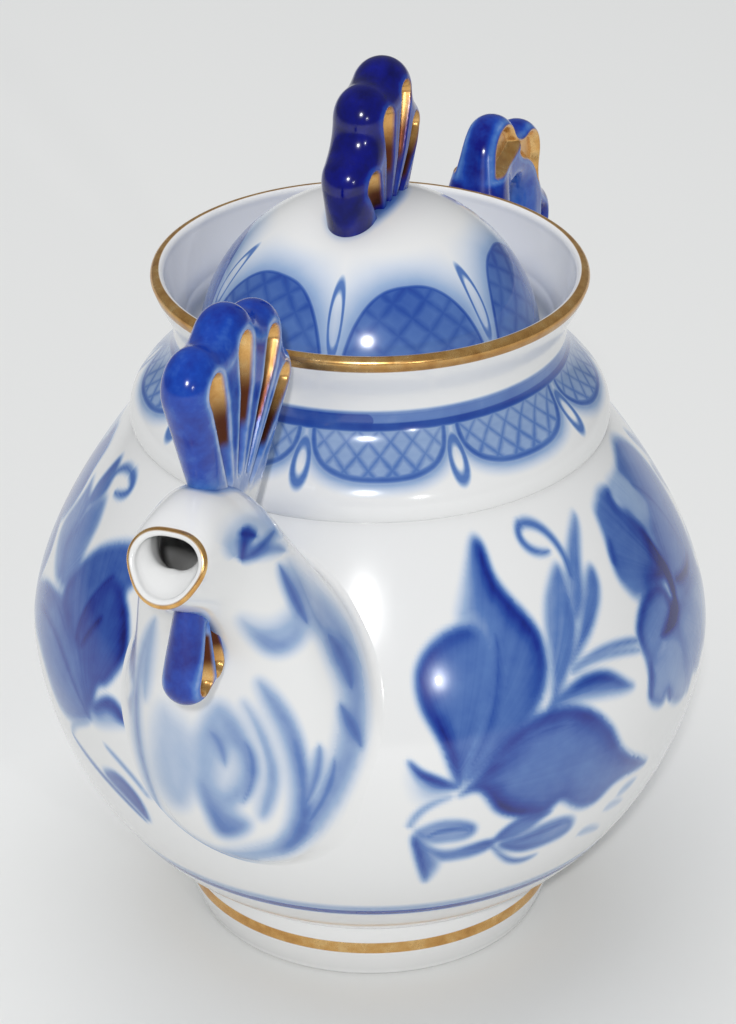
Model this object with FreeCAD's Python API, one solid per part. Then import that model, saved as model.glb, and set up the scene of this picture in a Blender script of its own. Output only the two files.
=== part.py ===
import FreeCAD, Part
import math
import os
from FreeCAD import Vector

# A porcelain teapot whose spout is a bird's head, with a comb, a wattle, a tail-shaped handle and a
# loose domed lid. Lengths are millimetres: spout along +X, handle along -X, pot axis on Z, table at z = 0.

# Body, outside
FOOT_R = 39.5
FOOT_EDGE_R = 1.2
FOOT_BAND_R = 41.9
FOOT_BAND_Z = 8.6
FOOT_TOP_R = 41.3
FOOT_TOP_Z = 14.0
BELLY_R = 75.0
BELLY_Z = 72.0
SHOULDER_R = 51.5
SHOULDER_Z = 121.5
WELT_HEIGHT = 2.0
WELT_PROUD = 0.7
NECK_R = 42.4
NECK_Z = 142.0
LIP_R = 47.0
LIP_THICK = 3.0
RIM_Z = 156.5

# Body, inside
WALL = 3.5
FOOT_RING_WIDTH = 4.6
FOOT_RECESS = 6.0
GALLERY_WIDTH = 4.5
GALLERY_Z = 136.0
GALLERY_EDGE = 3.8
GALLERY_ROOT = 7.4
STRAINER_HOLE_R = 3.0
STRAINER_PITCH = 9.5
STRAINER_Z = 88.0
STRAINER_RING = 6

# Shape of the belly, collar and lip curves, as shares of the span that each curve crosses
LOWER_FULLNESS = 0.77
LOWER_RISE = 0.265
LOWER_UPRIGHT = 0.195
UPPER_UPRIGHT = 0.360
UPPER_FULLNESS = 0.221
UPPER_RISE = 0.125
COLLAR_UPRIGHT = 0.42
NECK_UPRIGHT = 0.45
LIP_FLARE = 0.55

# Lid
LID_CLEARANCE = 0.8
LID_SEAT_GAP = 0.2
LID_FLANGE = 2.2
LID_STEP = 1.2
LID_DOME_HEIGHT = 34.6
LID_WALL = 3.4
SKIRT_DEPTH = 9.0
SKIRT_WALL = 3.2
SKIRT_CLEARANCE = 0.7
VENT_R = 1.6
VENT_REACH = 19.0

# Spout: each station is an egg-shaped oval across the central plane, from its low point to its high point
SPOUT_WALL = 3.2
MOUTH_LIP = 1.8
EGG = 0.12
ROOT_LOW = (42.0, 45.0)
ROOT_HIGH = (42.0, 108.8)
ROOT_HALF_WIDTH = 25.0
FLANK_LOW = (66.2, 46.8)
FLANK_HIGH = (57.0, 117.3)
FLANK_HALF_WIDTH = 28.7
BREAST_LOW = (73.5, 51.5)
BREAST_HIGH = (64.0, 125.0)
BREAST_HALF_WIDTH = 26.9
CROP_LOW = (77.8, 64.0)
CROP_HIGH = (71.0, 133.9)
CROP_HALF_WIDTH = 22.4
THROAT_LOW = (82.0, 90.0)
THROAT_HIGH = (78.0, 141.6)
THROAT_HALF_WIDTH = 18.3
NAPE_LOW = (87.0, 108.0)
NAPE_HIGH = (85.5, 145.5)
NAPE_HALF_WIDTH = 14.4
HEAD_LOW = (94.5, 119.5)
HEAD_HIGH = (92.0, 147.0)
HEAD_HALF_WIDTH = 11.1
BEAK_LOW = (103.0, 126.2)
BEAK_HIGH = (97.5, 146.0)
BEAK_HALF_WIDTH = 9.4
MOUTH_LOW = (110.0, 130.6)
MOUTH_HIGH = (102.3, 143.6)
MOUTH_HALF_WIDTH = 8.2

# Fans: lobed slabs in the central plane, lobes listed from back to front
FAN_VALLEY_R = 7.0
FLUTE_DEPTH = 3.0
FLUTE_TIP_R = 1.0
FLUTE_START = 0.35

FINIAL_THICK = 12.0
FINIAL_DRAFT = 4.0
FINIAL_EDGE_R = 4.4
FINIAL_BASE = ((-10.0, 164.0), (13.0, 164.0))
FINIAL_LOBES = ((-12.0, 185.0), (-6.2, 194.2), (3.6, 191.6), (11.0, 180.0))
FINIAL_LOBE_R = (6.4, 7.2, 7.2, 6.8)
FINIAL_FLUTE_R = 3.1

COMB_THICK = 10.4
COMB_DRAFT = 5.0
COMB_EDGE_R = 3.8
COMB_BASE = ((68.0, 127.0), (88.0, 138.0))
COMB_LOBES = ((57.5, 156.5), (63.5, 167.5), (77.0, 172.0), (91.0, 169.0))
COMB_LOBE_R = (7.0, 7.8, 8.2, 8.0)
COMB_FLUTE_R = 3.6

WATTLE_THICK = 10.0
WATTLE_DRAFT = 8.0
WATTLE_EDGE_R = 4.2
WATTLE_BASE = ((99.0, 125.0), (86.5, 121.5))
WATTLE_LOBES = ((97.2, 107.0), (90.8, 107.8))
WATTLE_LOBE_R = (5.2, 5.0)
WATTLE_FLUTE_R = 2.4

# Handle: places in the central plane as (distance behind the axis, height)
HANDLE_THICK = 10.2
HANDLE_EDGE_R = 3.0
HANDLE_LOBES = ((73.0, 153.5), (90.3, 146.5), (97.0, 128.0), (99.5, 109.0))
HANDLE_LOBE_R = (9.4, 8.8, 8.8, 8.0)
HANDLE_VALLEY_R = 7.0
HANDLE_TOP_ROOT = (48.0, 116.0)
HANDLE_LOW_ROOT = (64.0, 56.0)
HANDLE_TAIL_BEND = (101.0, 75.0)
FINGER_TOP = (79.5, 134.5)
FINGER_TOP_R = 10.0
FINGER_LOW = (77.5, 94.0)
FINGER_LOW_R = 12.5
POCKET_BEAD = 3.0
POCKET_DEPTH = 3.0

CIRCLE_HANDLE = 0.5523


def point(place, y=0.0):
    """Point of the central plane at (x, z), moved sideways by y."""
    return Vector(place[0], y, place[1])


def line(start, end):
    return Part.LineSegment(point(start), point(end)).toShape()


def arc(start, middle, end):
    return Part.Arc(point(start), point(middle), point(end)).toShape()


def bezier(poles):
    curve = Part.BezierCurve()
    curve.setPoles([point(pole) for pole in poles])
    return curve.toShape()


def revolve(edges):
    """Solid of revolution about Z from a closed profile in the central plane."""
    face = Part.Face(Part.Wire(edges))
    return face.revolve(Vector(0, 0, 0), Vector(0, 0, 1), 360)


def between(start, end, share_r, share_z):
    """Point that is the given shares of the way from start to end."""
    return (start[0] + share_r * (end[0] - start[0]), start[1] + share_z * (end[1] - start[1]))


def bore_r():
    """Radius inside the neck, where the lid's flange goes."""
    return NECK_R - WALL


def gallery_r():
    """Radius of the opening inside the lid's ledge, where the lid's skirt goes."""
    return bore_r() - GALLERY_WIDTH


def inset(poles, wall):
    """Curve poles moved to the left of their direction by the wall: the inside of a thin wall."""
    def shifted(pole, start, end):
        run, rise = end[0] - start[0], end[1] - start[1]
        length = math.hypot(run, rise)
        return (pole[0] - wall * rise / length, pole[1] + wall * run / length)
    first = [shifted(pole, poles[0], poles[1]) for pole in poles[:2]]
    last = [shifted(pole, poles[2], poles[3]) for pole in poles[2:]]
    return first + last


def belly_poles():
    """Lower and upper belly curves, upright where they meet at the widest ring."""
    foot, belly, shoulder = (FOOT_TOP_R, FOOT_TOP_Z), (BELLY_R, BELLY_Z), (SHOULDER_R, SHOULDER_Z)
    lower = [foot, between(foot, belly, LOWER_FULLNESS, LOWER_RISE),
             between(belly, foot, 0, LOWER_UPRIGHT), belly]
    upper = [belly, between(belly, shoulder, 0, UPPER_UPRIGHT),
             between(shoulder, belly, UPPER_FULLNESS, UPPER_RISE), shoulder]
    return lower, upper


def neck_poles():
    """Collar curve from the welt's crest to the narrowest ring of the neck, and the lip flaring above it."""
    crest, neck = (SHOULDER_R + WELT_PROUD, SHOULDER_Z + WELT_HEIGHT), (NECK_R, NECK_Z)
    lip = (LIP_R, RIM_Z - LIP_THICK / 2)
    rise = [crest, between(crest, neck, 0, COLLAR_UPRIGHT), between(neck, crest, 0, NECK_UPRIGHT), neck]
    flare = [neck, between(neck, lip, 0, NECK_UPRIGHT),
             between(lip, neck, LIP_FLARE, LIP_FLARE), lip]
    return rise, flare


def outside_edges():
    """Outer profile from the foot's flat ring to the crest of the lip."""
    lower, upper = belly_poles()
    rise, flare = neck_poles()
    lip_z = RIM_Z - LIP_THICK / 2
    edge_mid = FOOT_EDGE_R * (1 - math.sqrt(0.5))
    return [
        arc((FOOT_R - FOOT_EDGE_R, 0), (FOOT_R - edge_mid, edge_mid), (FOOT_R, FOOT_EDGE_R)),
        arc((FOOT_R, FOOT_EDGE_R), (FOOT_BAND_R, FOOT_BAND_Z), (FOOT_TOP_R, FOOT_TOP_Z)),
        bezier(lower),
        bezier(upper),
        bezier([upper[3], (rise[0][0], upper[3][1]), rise[0]]),
        bezier(rise),
        bezier(flare),
        arc(flare[3], (LIP_R - LIP_THICK / 2, RIM_Z), (LIP_R - LIP_THICK, lip_z)),
    ]


def pot_outline():
    """The pot's outside as a filled solid, for seating the pieces that are stuck on it."""
    lip_z = RIM_Z - LIP_THICK / 2
    closing = [line((LIP_R - LIP_THICK, lip_z), (0, lip_z)), line((0, lip_z), (0, 0)),
               line((0, 0), (FOOT_R - FOOT_EDGE_R, 0))]
    return revolve(outside_edges() + closing)


def strainer_holes():
    """Six holes round one, drilled along X through the wall behind the spout."""
    places = [(0.0, STRAINER_Z)]
    for index in range(STRAINER_RING):
        turn = 2 * math.pi * index / STRAINER_RING
        places.append((STRAINER_PITCH * math.cos(turn), STRAINER_Z + STRAINER_PITCH * math.sin(turn)))
    start = BELLY_R / 2
    drills = [Part.makeCylinder(STRAINER_HOLE_R, BELLY_R, Vector(start, y, z), Vector(1, 0, 0)) for y, z in places]
    return Part.makeCompound(drills)


def make_body():
    """Foot, belly, collar and lip as one wall, with the ledge for the lid inside the neck."""
    lower, upper = belly_poles()
    _, flare = neck_poles()
    lower_in, upper_in, flare_in = inset(lower, WALL), inset(upper, WALL), inset(flare, WALL)
    flare_in[3] = (LIP_R - LIP_THICK, RIM_Z - LIP_THICK / 2)
    flare_in[0] = (bore_r(), NECK_Z)
    floor_z = FOOT_RECESS + WALL
    ring_in = FOOT_R - FOOT_RING_WIDTH
    collar_in = ((SHOULDER_R + NECK_R - WALL) / 2, GALLERY_Z - GALLERY_ROOT)
    inside = [
        flare_in[0], (bore_r(), GALLERY_Z), (gallery_r(), GALLERY_Z),
        (gallery_r(), GALLERY_Z - GALLERY_EDGE), collar_in, upper_in[3],
    ]
    edges = outside_edges()
    edges.append(bezier(flare_in[::-1]))
    edges += [line(start, end) for start, end in zip(inside[:-1], inside[1:])]
    edges += [bezier(upper_in[::-1]), bezier(lower_in[::-1])]
    base = [lower_in[0], (ring_in, floor_z), (0, floor_z), (0, FOOT_RECESS),
            (ring_in - FOOT_RECESS / 2, FOOT_RECESS), (ring_in, 0), (FOOT_R - FOOT_EDGE_R, 0)]
    edges += [line(start, end) for start, end in zip(base[:-1], base[1:])]
    return revolve(edges).cut(strainer_holes())


def spout_stations():
    return [
        (ROOT_LOW, ROOT_HIGH, ROOT_HALF_WIDTH), (FLANK_LOW, FLANK_HIGH, FLANK_HALF_WIDTH),
        (BREAST_LOW, BREAST_HIGH, BREAST_HALF_WIDTH), (CROP_LOW, CROP_HIGH, CROP_HALF_WIDTH),
        (THROAT_LOW, THROAT_HIGH, THROAT_HALF_WIDTH), (NAPE_LOW, NAPE_HIGH, NAPE_HALF_WIDTH),
        (HEAD_LOW, HEAD_HIGH, HEAD_HALF_WIDTH), (BEAK_LOW, BEAK_HIGH, BEAK_HALF_WIDTH),
        (MOUTH_LOW, MOUTH_HIGH, MOUTH_HALF_WIDTH),
    ]


def oval(low, high, half_width, wall=0.0):
    """Closed smooth egg through eight points, drawn in by the wall and a little fuller below its middle."""
    middle = (point(low) + point(high)) * 0.5
    tall = (point(high) - point(low)) * 0.5
    tall = tall * ((tall.Length - wall) / tall.Length)
    wide = Vector(0, half_width - wall, 0)
    places = []
    for step in range(8):
        turn = math.pi * step / 4
        fullness = 1 - EGG * math.cos(turn)
        places.append(middle + tall * math.cos(turn) + wide * (math.sin(turn) * fullness))
    curve = Part.BSplineCurve()
    curve.interpolate(Points=places, PeriodicFlag=True)
    return Part.Wire([curve.toShape()])


def spout_form(hollow):
    """The bird's head and breast: a loft through the stations, or the channel inside it."""
    stations = spout_stations()
    last = len(stations) - 1
    sections = []
    for index, (low, high, half_width) in enumerate(stations):
        wall = SPOUT_WALL + (MOUTH_LIP - SPOUT_WALL) * index / last
        sections.append(oval(low, high, half_width, wall if hollow else 0.0))
    if hollow:
        low, high, half_width = stations[last]
        out = (high[1] - low[1], low[0] - high[0])
        beyond = [(place[0] + out[0] / 2, place[1] + out[1] / 2) for place in (low, high)]
        sections.append(oval(beyond[0], beyond[1], half_width, MOUTH_LIP))
    return Part.makeLoft(sections, True, False)


def make_spout(pot):
    return largest(spout_form(False).cut(pot).cut(spout_form(True)))


def largest(shape):
    """The biggest solid of a shape, as one clean solid."""
    return max(shape.Solids, key=lambda solid: solid.Volume)


def tangent_point(place, centre, radius, side):
    """Where the line from a place touches a circle, on the given side of the line to its centre."""
    run, rise = centre[0] - place[0], centre[1] - place[1]
    reach = math.hypot(run, rise)
    turn = math.atan2(rise, run) + math.pi - side * math.acos(radius / reach)
    return (centre[0] + radius * math.cos(turn), centre[1] + radius * math.sin(turn))


def valley_centre(first, second, valley_r):
    """Centre of the small arc that lies in the dip between two lobes, left of the way from first to second."""
    (place_a, radius_a), (place_b, radius_b) = first, second
    run, rise = place_b[0] - place_a[0], place_b[1] - place_a[1]
    gap = math.hypot(run, rise)
    arm_a, arm_b = radius_a + valley_r, radius_b + valley_r
    along = (gap * gap + arm_a * arm_a - arm_b * arm_b) / (2 * gap)
    aside = math.sqrt(arm_a * arm_a - along * along)
    unit = (run / gap, rise / gap)
    return (place_a[0] + unit[0] * along - unit[1] * aside, place_a[1] + unit[1] * along + unit[0] * aside)


def toward(centre, place, radius):
    """Point of a circle on the side of another place."""
    run, rise = place[0] - centre[0], place[1] - centre[1]
    reach = math.hypot(run, rise)
    return (centre[0] + radius * run / reach, centre[1] + radius * rise / reach)


def round_arc(centre, radius, start, end, clockwise):
    """Arc of a circle from start to end, the given way round."""
    first = math.atan2(start[1] - centre[1], start[0] - centre[0])
    second = math.atan2(end[1] - centre[1], end[0] - centre[0])
    turn = (first - second) % (2 * math.pi) if clockwise else (second - first) % (2 * math.pi)
    half = first - turn / 2 if clockwise else first + turn / 2
    return arc(start, (centre[0] + radius * math.cos(half), centre[1] + radius * math.sin(half)), end)


def lobed_edges(start, lobes, end, valley_r):
    """Outline from start round the lobes, clockwise, to the last lobe's touching point towards end.

    Each lobe is a circle; small arcs fill the dips, and the first and last lobes meet straight tangents.
    """
    entry = tangent_point(start, lobes[0][0], lobes[0][1], 1)
    edges = [line(start, entry)]
    for first, second in zip(lobes[:-1], lobes[1:]):
        dip = valley_centre(first, second, valley_r)
        leave = toward(dip, first[0], valley_r)
        arrive = toward(dip, second[0], valley_r)
        edges.append(round_arc(first[0], first[1], entry, leave, True))
        edges.append(round_arc(dip, valley_r, leave, arrive, False))
        entry = arrive
    leave = tangent_point(end, lobes[-1][0], lobes[-1][1], -1)
    edges.append(round_arc(lobes[-1][0], lobes[-1][1], entry, leave, True))
    return edges, leave


def wedge(base, tip, thickness, draft):
    """Two blocks that thin a slab from its full thickness at the tip towards its base, by the draft angle."""
    reach = math.hypot(tip[0] - base[0], tip[1] - base[1])
    size = 4 * reach
    lean = math.degrees(math.atan2(tip[0] - base[0], tip[1] - base[1]))
    blocks = []
    for side in (-1, 1):
        block = Part.makeBox(size, size, size, Vector(-size / 2, 0, -size / 2))
        block.rotate(Vector(0, 0, 0), Vector(1, 0, 0), -draft)
        if side < 0:
            block = block.mirror(Vector(0, 0, 0), Vector(0, 1, 0))
        block.translate(Vector(0, side * thickness / 2, reach))
        block.rotate(Vector(0, 0, 0), Vector(0, 1, 0), lean)
        block.translate(point(base))
        blocks.append(block)
    return blocks


def slab(outline, holes, thickness, edge_r, sharp):
    """Slab of the outline about the central plane, its long edges rounded except those inside a neighbour."""
    face = Part.Face([Part.Wire(outline)] + holes)
    solid = face.extrude(Vector(0, thickness, 0))
    solid.translate(Vector(0, -thickness / 2, 0))
    rounded = []
    for edge in solid.Edges:
        box = edge.BoundBox
        middle = Vector((box.XMin + box.XMax) / 2, 0, (box.ZMin + box.ZMax) / 2)
        along_side = box.YMin > 0 or box.YMax < 0
        if along_side and all((middle - point(place)).Length > edge_r for place in sharp):
            rounded.append(edge)
    return solid.makeFillet(edge_r, rounded)


def flute(tip, centre, radius, thickness):
    """Tapered round channel from its fine tip to a lobe's centre, on both flanks of a fan."""
    channels = []
    for side in (-1, 1):
        y = side * (thickness / 2 + radius - FLUTE_DEPTH)
        start, end = point(tip, y), point(centre, y)
        along = end - start
        cone = Part.makeCone(FLUTE_TIP_R, radius, along.Length, start, along)
        channels.append(cone.fuse(Part.makeSphere(radius, end)))
    return channels


def middle_of(first, second):
    return ((first[0] + second[0]) / 2, (first[1] + second[1]) / 2)


def fan(base, lobe_places, lobe_radii, thickness, draft, edge_r, flute_r, seat):
    """Lobed fan sitting on the seat, thinner towards its base, with a flute running into each lobe."""
    lobes = list(zip(lobe_places, lobe_radii))
    edges, leave = lobed_edges(base[0], lobes, base[1], FAN_VALLEY_R)
    edges += [line(leave, base[1]), line(base[1], base[0])]
    root = middle_of(base[0], base[1])
    tip = middle_of(lobe_places[0], lobe_places[-1])
    solid = largest(slab(edges, [], thickness, edge_r, [root]).cut(seat))
    for block in wedge(root, tip, thickness, draft):
        solid = solid.cut(block)
    for centre, _ in lobes:
        start = between(root, centre, FLUTE_START, FLUTE_START)
        for channel in flute(start, centre, flute_r, thickness):
            solid = solid.cut(channel)
    return largest(solid)


def make_comb(head):
    return fan(COMB_BASE, COMB_LOBES, COMB_LOBE_R, COMB_THICK, COMB_DRAFT, COMB_EDGE_R, COMB_FLUTE_R, head)


def make_wattle(head):
    return fan(WATTLE_BASE, WATTLE_LOBES, WATTLE_LOBE_R, WATTLE_THICK, WATTLE_DRAFT, WATTLE_EDGE_R,
               WATTLE_FLUTE_R, head)


def lid_heights():
    """Bottom of the lid's flange, top of the flange, and top of the dome."""
    seat = GALLERY_Z + LID_SEAT_GAP
    return seat, seat + LID_FLANGE, seat + LID_FLANGE + LID_DOME_HEIGHT


def dome_edge(radius, low, high):
    """Quarter ellipse from the dome's edge up to its top on the axis."""
    rise = high - low
    return bezier([(radius, low), (radius, low + CIRCLE_HANDLE * rise), (CIRCLE_HANDLE * radius, high), (0, high)])


def lid_outline():
    """The dome's outside as a filled solid, for seating the finial."""
    _, flange_top, top = lid_heights()
    radius = bore_r() - LID_CLEARANCE - LID_STEP
    return revolve([dome_edge(radius, flange_top, top), line((0, top), (0, flange_top)),
                    line((0, flange_top), (radius, flange_top))])


def make_lid():
    """Dome with a flat flange that rests on the ledge, and a skirt that keeps it central."""
    seat, flange_top, top = lid_heights()
    edge = bore_r() - LID_CLEARANCE
    dome_r = edge - LID_STEP
    skirt_r = gallery_r() - SKIRT_CLEARANCE
    skirt_in = skirt_r - SKIRT_WALL
    skirt_z = seat - SKIRT_DEPTH
    outline = [(skirt_in, seat), (skirt_in, skirt_z), (skirt_r, skirt_z), (skirt_r, seat), (edge, seat),
               (edge, flange_top), (dome_r, flange_top)]
    edges = [line(start, end) for start, end in zip(outline[:-1], outline[1:])]
    edges += [dome_edge(dome_r, flange_top, top), line((0, top), (0, top - LID_WALL))]
    hollow = bezier([(0, top - LID_WALL), (CIRCLE_HANDLE * skirt_in, top - LID_WALL),
                     (skirt_in, seat + CIRCLE_HANDLE * (top - seat)), (skirt_in, seat)])
    vent = Part.makeCylinder(VENT_R, top, Vector(-VENT_REACH, 0, seat))
    return revolve(edges + [hollow]).cut(vent)


def make_finial(dome):
    return fan(FINIAL_BASE, FINIAL_LOBES, FINIAL_LOBE_R, FINIAL_THICK, FINIAL_DRAFT, FINIAL_EDGE_R,
               FINIAL_FLUTE_R, dome)


def behind(place):
    """A place given behind the axis, as (x, z)."""
    return (-place[0], place[1])


def finger_hole():
    """Opening for the fingers: two circles joined by their outer tangents."""
    top, low = behind(FINGER_TOP), behind(FINGER_LOW)
    run, rise = top[0] - low[0], top[1] - low[1]
    reach = math.hypot(run, rise)
    course = math.atan2(rise, run)
    lean = math.acos((FINGER_LOW_R - FINGER_TOP_R) / reach)

    def on(centre, radius, side):
        turn = course + side * lean
        return (centre[0] + radius * math.cos(turn), centre[1] + radius * math.sin(turn))
    right_low, right_top = on(low, FINGER_LOW_R, -1), on(top, FINGER_TOP_R, -1)
    left_low, left_top = on(low, FINGER_LOW_R, 1), on(top, FINGER_TOP_R, 1)
    return Part.Wire([
        line(right_low, right_top), round_arc(top, FINGER_TOP_R, right_top, left_top, False),
        line(left_top, left_low), round_arc(low, FINGER_LOW_R, left_low, right_low, False),
    ])


def make_handle(pot):
    """Tail-shaped loop: lobes along its outer edge, a pocket in each lobe and an opening for the fingers."""
    lobes = [(behind(place), radius) for place, radius in zip(HANDLE_LOBES, HANDLE_LOBE_R)]
    lobes.reverse()
    top, low, bend = behind(HANDLE_TOP_ROOT), behind(HANDLE_LOW_ROOT), behind(HANDLE_TAIL_BEND)
    edges, leave = lobed_edges(bend, lobes, top, HANDLE_VALLEY_R)
    touch = edges[0].Vertexes[1].Point
    edges[0] = bezier([low, bend, bend, (touch[0], touch[2])])
    edges += [line(leave, top), line(top, low)]
    closing = ((top[0] + low[0]) / 2, (top[1] + low[1]) / 2)
    solid = slab(edges, [finger_hole()], HANDLE_THICK, HANDLE_EDGE_R, [closing])
    for centre, radius in lobes:
        for side in (-1, 1):
            floor = point(centre, side * (HANDLE_THICK / 2 - POCKET_DEPTH))
            solid = solid.cut(Part.makeCylinder(radius - POCKET_BEAD, HANDLE_THICK, floor, Vector(0, side, 0)))
    return largest(solid.cut(pot))


def main():
    pot = pot_outline()
    head = spout_form(False)
    pieces = {
        "body": make_body(),
        "spout": make_spout(pot),
        "comb": make_comb(head),
        "wattle": make_wattle(head),
        "handle": make_handle(pot),
        "lid": make_lid(),
        "finial": make_finial(lid_outline()),
    }
    os.makedirs("parts", exist_ok=True)
    for name, shape in pieces.items():
        shape.exportStep("parts/" + name + ".step")
        print(name, "solids", len(shape.Solids), "valid", shape.isValid(), "volume", round(shape.Volume))


main()
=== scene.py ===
import math
import bpy
import numpy as np
from mathutils import Matrix


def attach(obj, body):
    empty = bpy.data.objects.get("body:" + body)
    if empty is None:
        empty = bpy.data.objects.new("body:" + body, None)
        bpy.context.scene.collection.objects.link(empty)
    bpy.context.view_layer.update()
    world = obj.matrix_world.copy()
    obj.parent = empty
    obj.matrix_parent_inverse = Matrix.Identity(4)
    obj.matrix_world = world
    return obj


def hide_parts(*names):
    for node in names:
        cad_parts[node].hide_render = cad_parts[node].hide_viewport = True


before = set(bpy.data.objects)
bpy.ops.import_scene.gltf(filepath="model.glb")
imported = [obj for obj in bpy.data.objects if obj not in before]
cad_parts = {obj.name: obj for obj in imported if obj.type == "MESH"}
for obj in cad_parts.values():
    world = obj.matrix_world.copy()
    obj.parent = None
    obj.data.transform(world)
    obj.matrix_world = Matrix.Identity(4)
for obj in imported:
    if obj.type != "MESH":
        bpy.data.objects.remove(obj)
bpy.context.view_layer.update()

# A glazed porcelain teapot painted in cobalt under the glaze, with gilded edges. Shapes are worked out in
# millimetres, with the spout along +X, the handle along -X, the pot's axis on Z and the table at z = 0.
MM = 0.001


def between(start, end, share_r, share_z):
    """Place that is the given shares of the way from start to end."""
    return (start[0] + share_r * (end[0] - start[0]), start[1] + share_z * (end[1] - start[1]))


# Pot profile as (radius, height)
FOOT_EDGE = (38.3, 0.0)
FOOT_SIDE = (39.5, 1.2)
FOOT_BAND = (41.9, 8.6)
FOOT_TOP = (41.3, 14.0)
BELLY = (75.0, 72.0)
SHOULDER = (51.5, 121.5)
WELT = (52.2, 123.5)
NECK = (42.4, 142.0)
LIP = (47.0, 155.0)
LIP_THICK = 3.0
WALL = 3.5
RING_IN = 34.9
FOOT_RECESS = 6.0
BORE_R = 38.9
LEDGE_R = 34.4
LEDGE_Z = 136.0
LOWER = [FOOT_TOP, between(FOOT_TOP, BELLY, .77, .265), between(BELLY, FOOT_TOP, 0, .195), BELLY]
UPPER = [BELLY, between(BELLY, SHOULDER, 0, .36), between(SHOULDER, BELLY, .221, .125), SHOULDER]
ROLL = [SHOULDER, (WELT[0], SHOULDER[1]), WELT]
RISE = [WELT, between(WELT, NECK, 0, .42), between(NECK, WELT, 0, .45), NECK]
FLARE = [NECK, between(NECK, LIP, 0, .45), between(LIP, NECK, .55, .55), LIP]

# Lid
LID_EDGE_R = 38.1
DOME_R = 36.9
LID_SEAT_Z = 136.2
FLANGE_TOP_Z = 138.4
DOME_TOP_Z = 173.0
SKIRT_R = 33.7
SKIRT_IN_R = 30.5
SKIRT_Z = 127.2
LID_WALL = 3.4

# Spout stations: low point, high point and half width of each oval
STATIONS_LOW = ((42, 45), (66.2, 46.8), (73.5, 51.5), (77.8, 64), (82, 90), (87, 108), (94.5, 119.5), (103, 126.2),
                (110, 130.6))
STATIONS_HIGH = ((42, 108.8), (57, 117.3), (64, 125), (71, 133.9), (78, 141.6), (85.5, 145.5), (92, 147),
                 (97.5, 146), (102.3, 143.6))
STATIONS_HALF = (25, 28.7, 26.9, 22.4, 18.3, 14.4, 11.1, 9.4, 8.2)
MOUTH_STATION = 7.86
MOUTH_CORNERS = 0.09
EGG = 0.12
SPOUT_WALL = 3.2
MOUTH_WALL = 1.8


# Curves and grids

def curve(poles, count):
    """Bezier curve: the poles are blended in pairs until one place for each parameter is left."""
    t = np.linspace(0, 1, count)[:, None]
    rows = [np.broadcast_to(np.asarray(pole, float), (count, len(pole))) for pole in poles]
    while len(rows) > 1:
        rows = [(1 - t) * a + t * b for a, b in zip(rows[:-1], rows[1:])]
    return rows[0]


def round_arc(centre, radius, start, end, clockwise, count=48):
    """Arc of a circle from one angle (radians) to another, the given way round."""
    turn = (start - end) % (2 * math.pi) if clockwise else (end - start) % (2 * math.pi)
    angle = np.linspace(start, start - turn if clockwise else start + turn, count)
    return np.stack([centre[0] + radius * np.cos(angle), centre[1] + radius * np.sin(angle)], 1)


def run_of(path):
    """Length of a polyline from its start to each of its places."""
    return np.concatenate([[0], np.cumsum(np.linalg.norm(np.diff(path, axis=0), axis=1))])


def even(path, count):
    """Polyline resampled to places that are equally far apart along it."""
    run = run_of(path)
    at = np.linspace(0, run[-1], count)
    return np.stack([np.interp(at, run, path[:, k]) for k in range(path.shape[1])], 1)


def spaced(path, step):
    """Polyline resampled to about the given step."""
    return even(path, max(2, int(round(run_of(path)[-1] / step)) + 1))


def spline(values, at):
    """Natural cubic spline through values numbered 0, 1, 2 and so on, read at fractional numbers."""
    values = np.asarray(values, float)
    count = len(values)
    inner = np.arange(1, count - 1)
    matrix, right = np.eye(count), np.zeros(count)
    matrix[inner, inner - 1], matrix[inner, inner], matrix[inner, inner + 1] = 1, 4, 1
    right[inner] = 6 * (values[inner + 1] - 2 * values[inner] + values[inner - 1])
    bend = np.linalg.solve(matrix, right)
    k = np.clip(np.floor(at).astype(int), 0, count - 2)
    t = at - k
    s = 1 - t
    return (s * values[k] + t * values[k + 1]
            + ((s ** 3 - s) * bend[k] + (t ** 3 - t) * bend[k + 1]) / 6)


def smooth(low, high, x):
    """Soft step from 0 at low to 1 at high."""
    t = np.clip((x - low) / (high - low), 0, 1)
    return t * t * (3 - 2 * t)


def soft_min(a, b, blend):
    """Smaller of two values, with the crease between them rounded over the blend."""
    h = np.clip(.5 + .5 * (b - a) / blend, 0, 1)
    return b * (1 - h) + a * h - blend * h * (1 - h)


def gap_to(places, path):
    """Distance from each place to a path in one plane, taken square to the path at its nearest sample."""
    flat = places.reshape(-1, 2)
    near, nearest = np.full(len(flat), np.inf), np.zeros(len(flat), int)
    for part in np.array_split(np.arange(len(path)), 12):
        square = ((flat[:, None, :] - path[part][None]) ** 2).sum(-1)
        best = square.argmin(1)
        least = np.take_along_axis(square, best[:, None], 1)[:, 0]
        nearest = np.where(least < near, part[best], nearest)
        near = np.minimum(near, least)
    run = np.gradient(path, axis=0)
    step = np.linalg.norm(run, axis=1)
    run = (run / step[:, None])[nearest]
    off = flat - path[nearest]
    along = np.clip((off * run).sum(-1), -.5 * step[nearest], .5 * step[nearest])
    return np.linalg.norm(off - along[:, None] * run, axis=1).reshape(places.shape[:-1])


def offset_in(path, wall):
    """Profile moved towards the axis side by the wall, square to its own direction."""
    along = np.gradient(path, axis=0)
    along /= np.linalg.norm(along, axis=1)[:, None]
    return path - wall * np.stack([along[:, 1], -along[:, 0]], 1)


def turned(profile, angles):
    """Profile of (radius, height) carried round the axis: radius times the cosine and sine of each angle."""
    r, z = profile[:, 0:1], profile[:, 1:2]
    return np.stack([r * np.cos(angles), r * np.sin(angles), np.broadcast_to(z, (len(profile), len(angles)))], -1)


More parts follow.
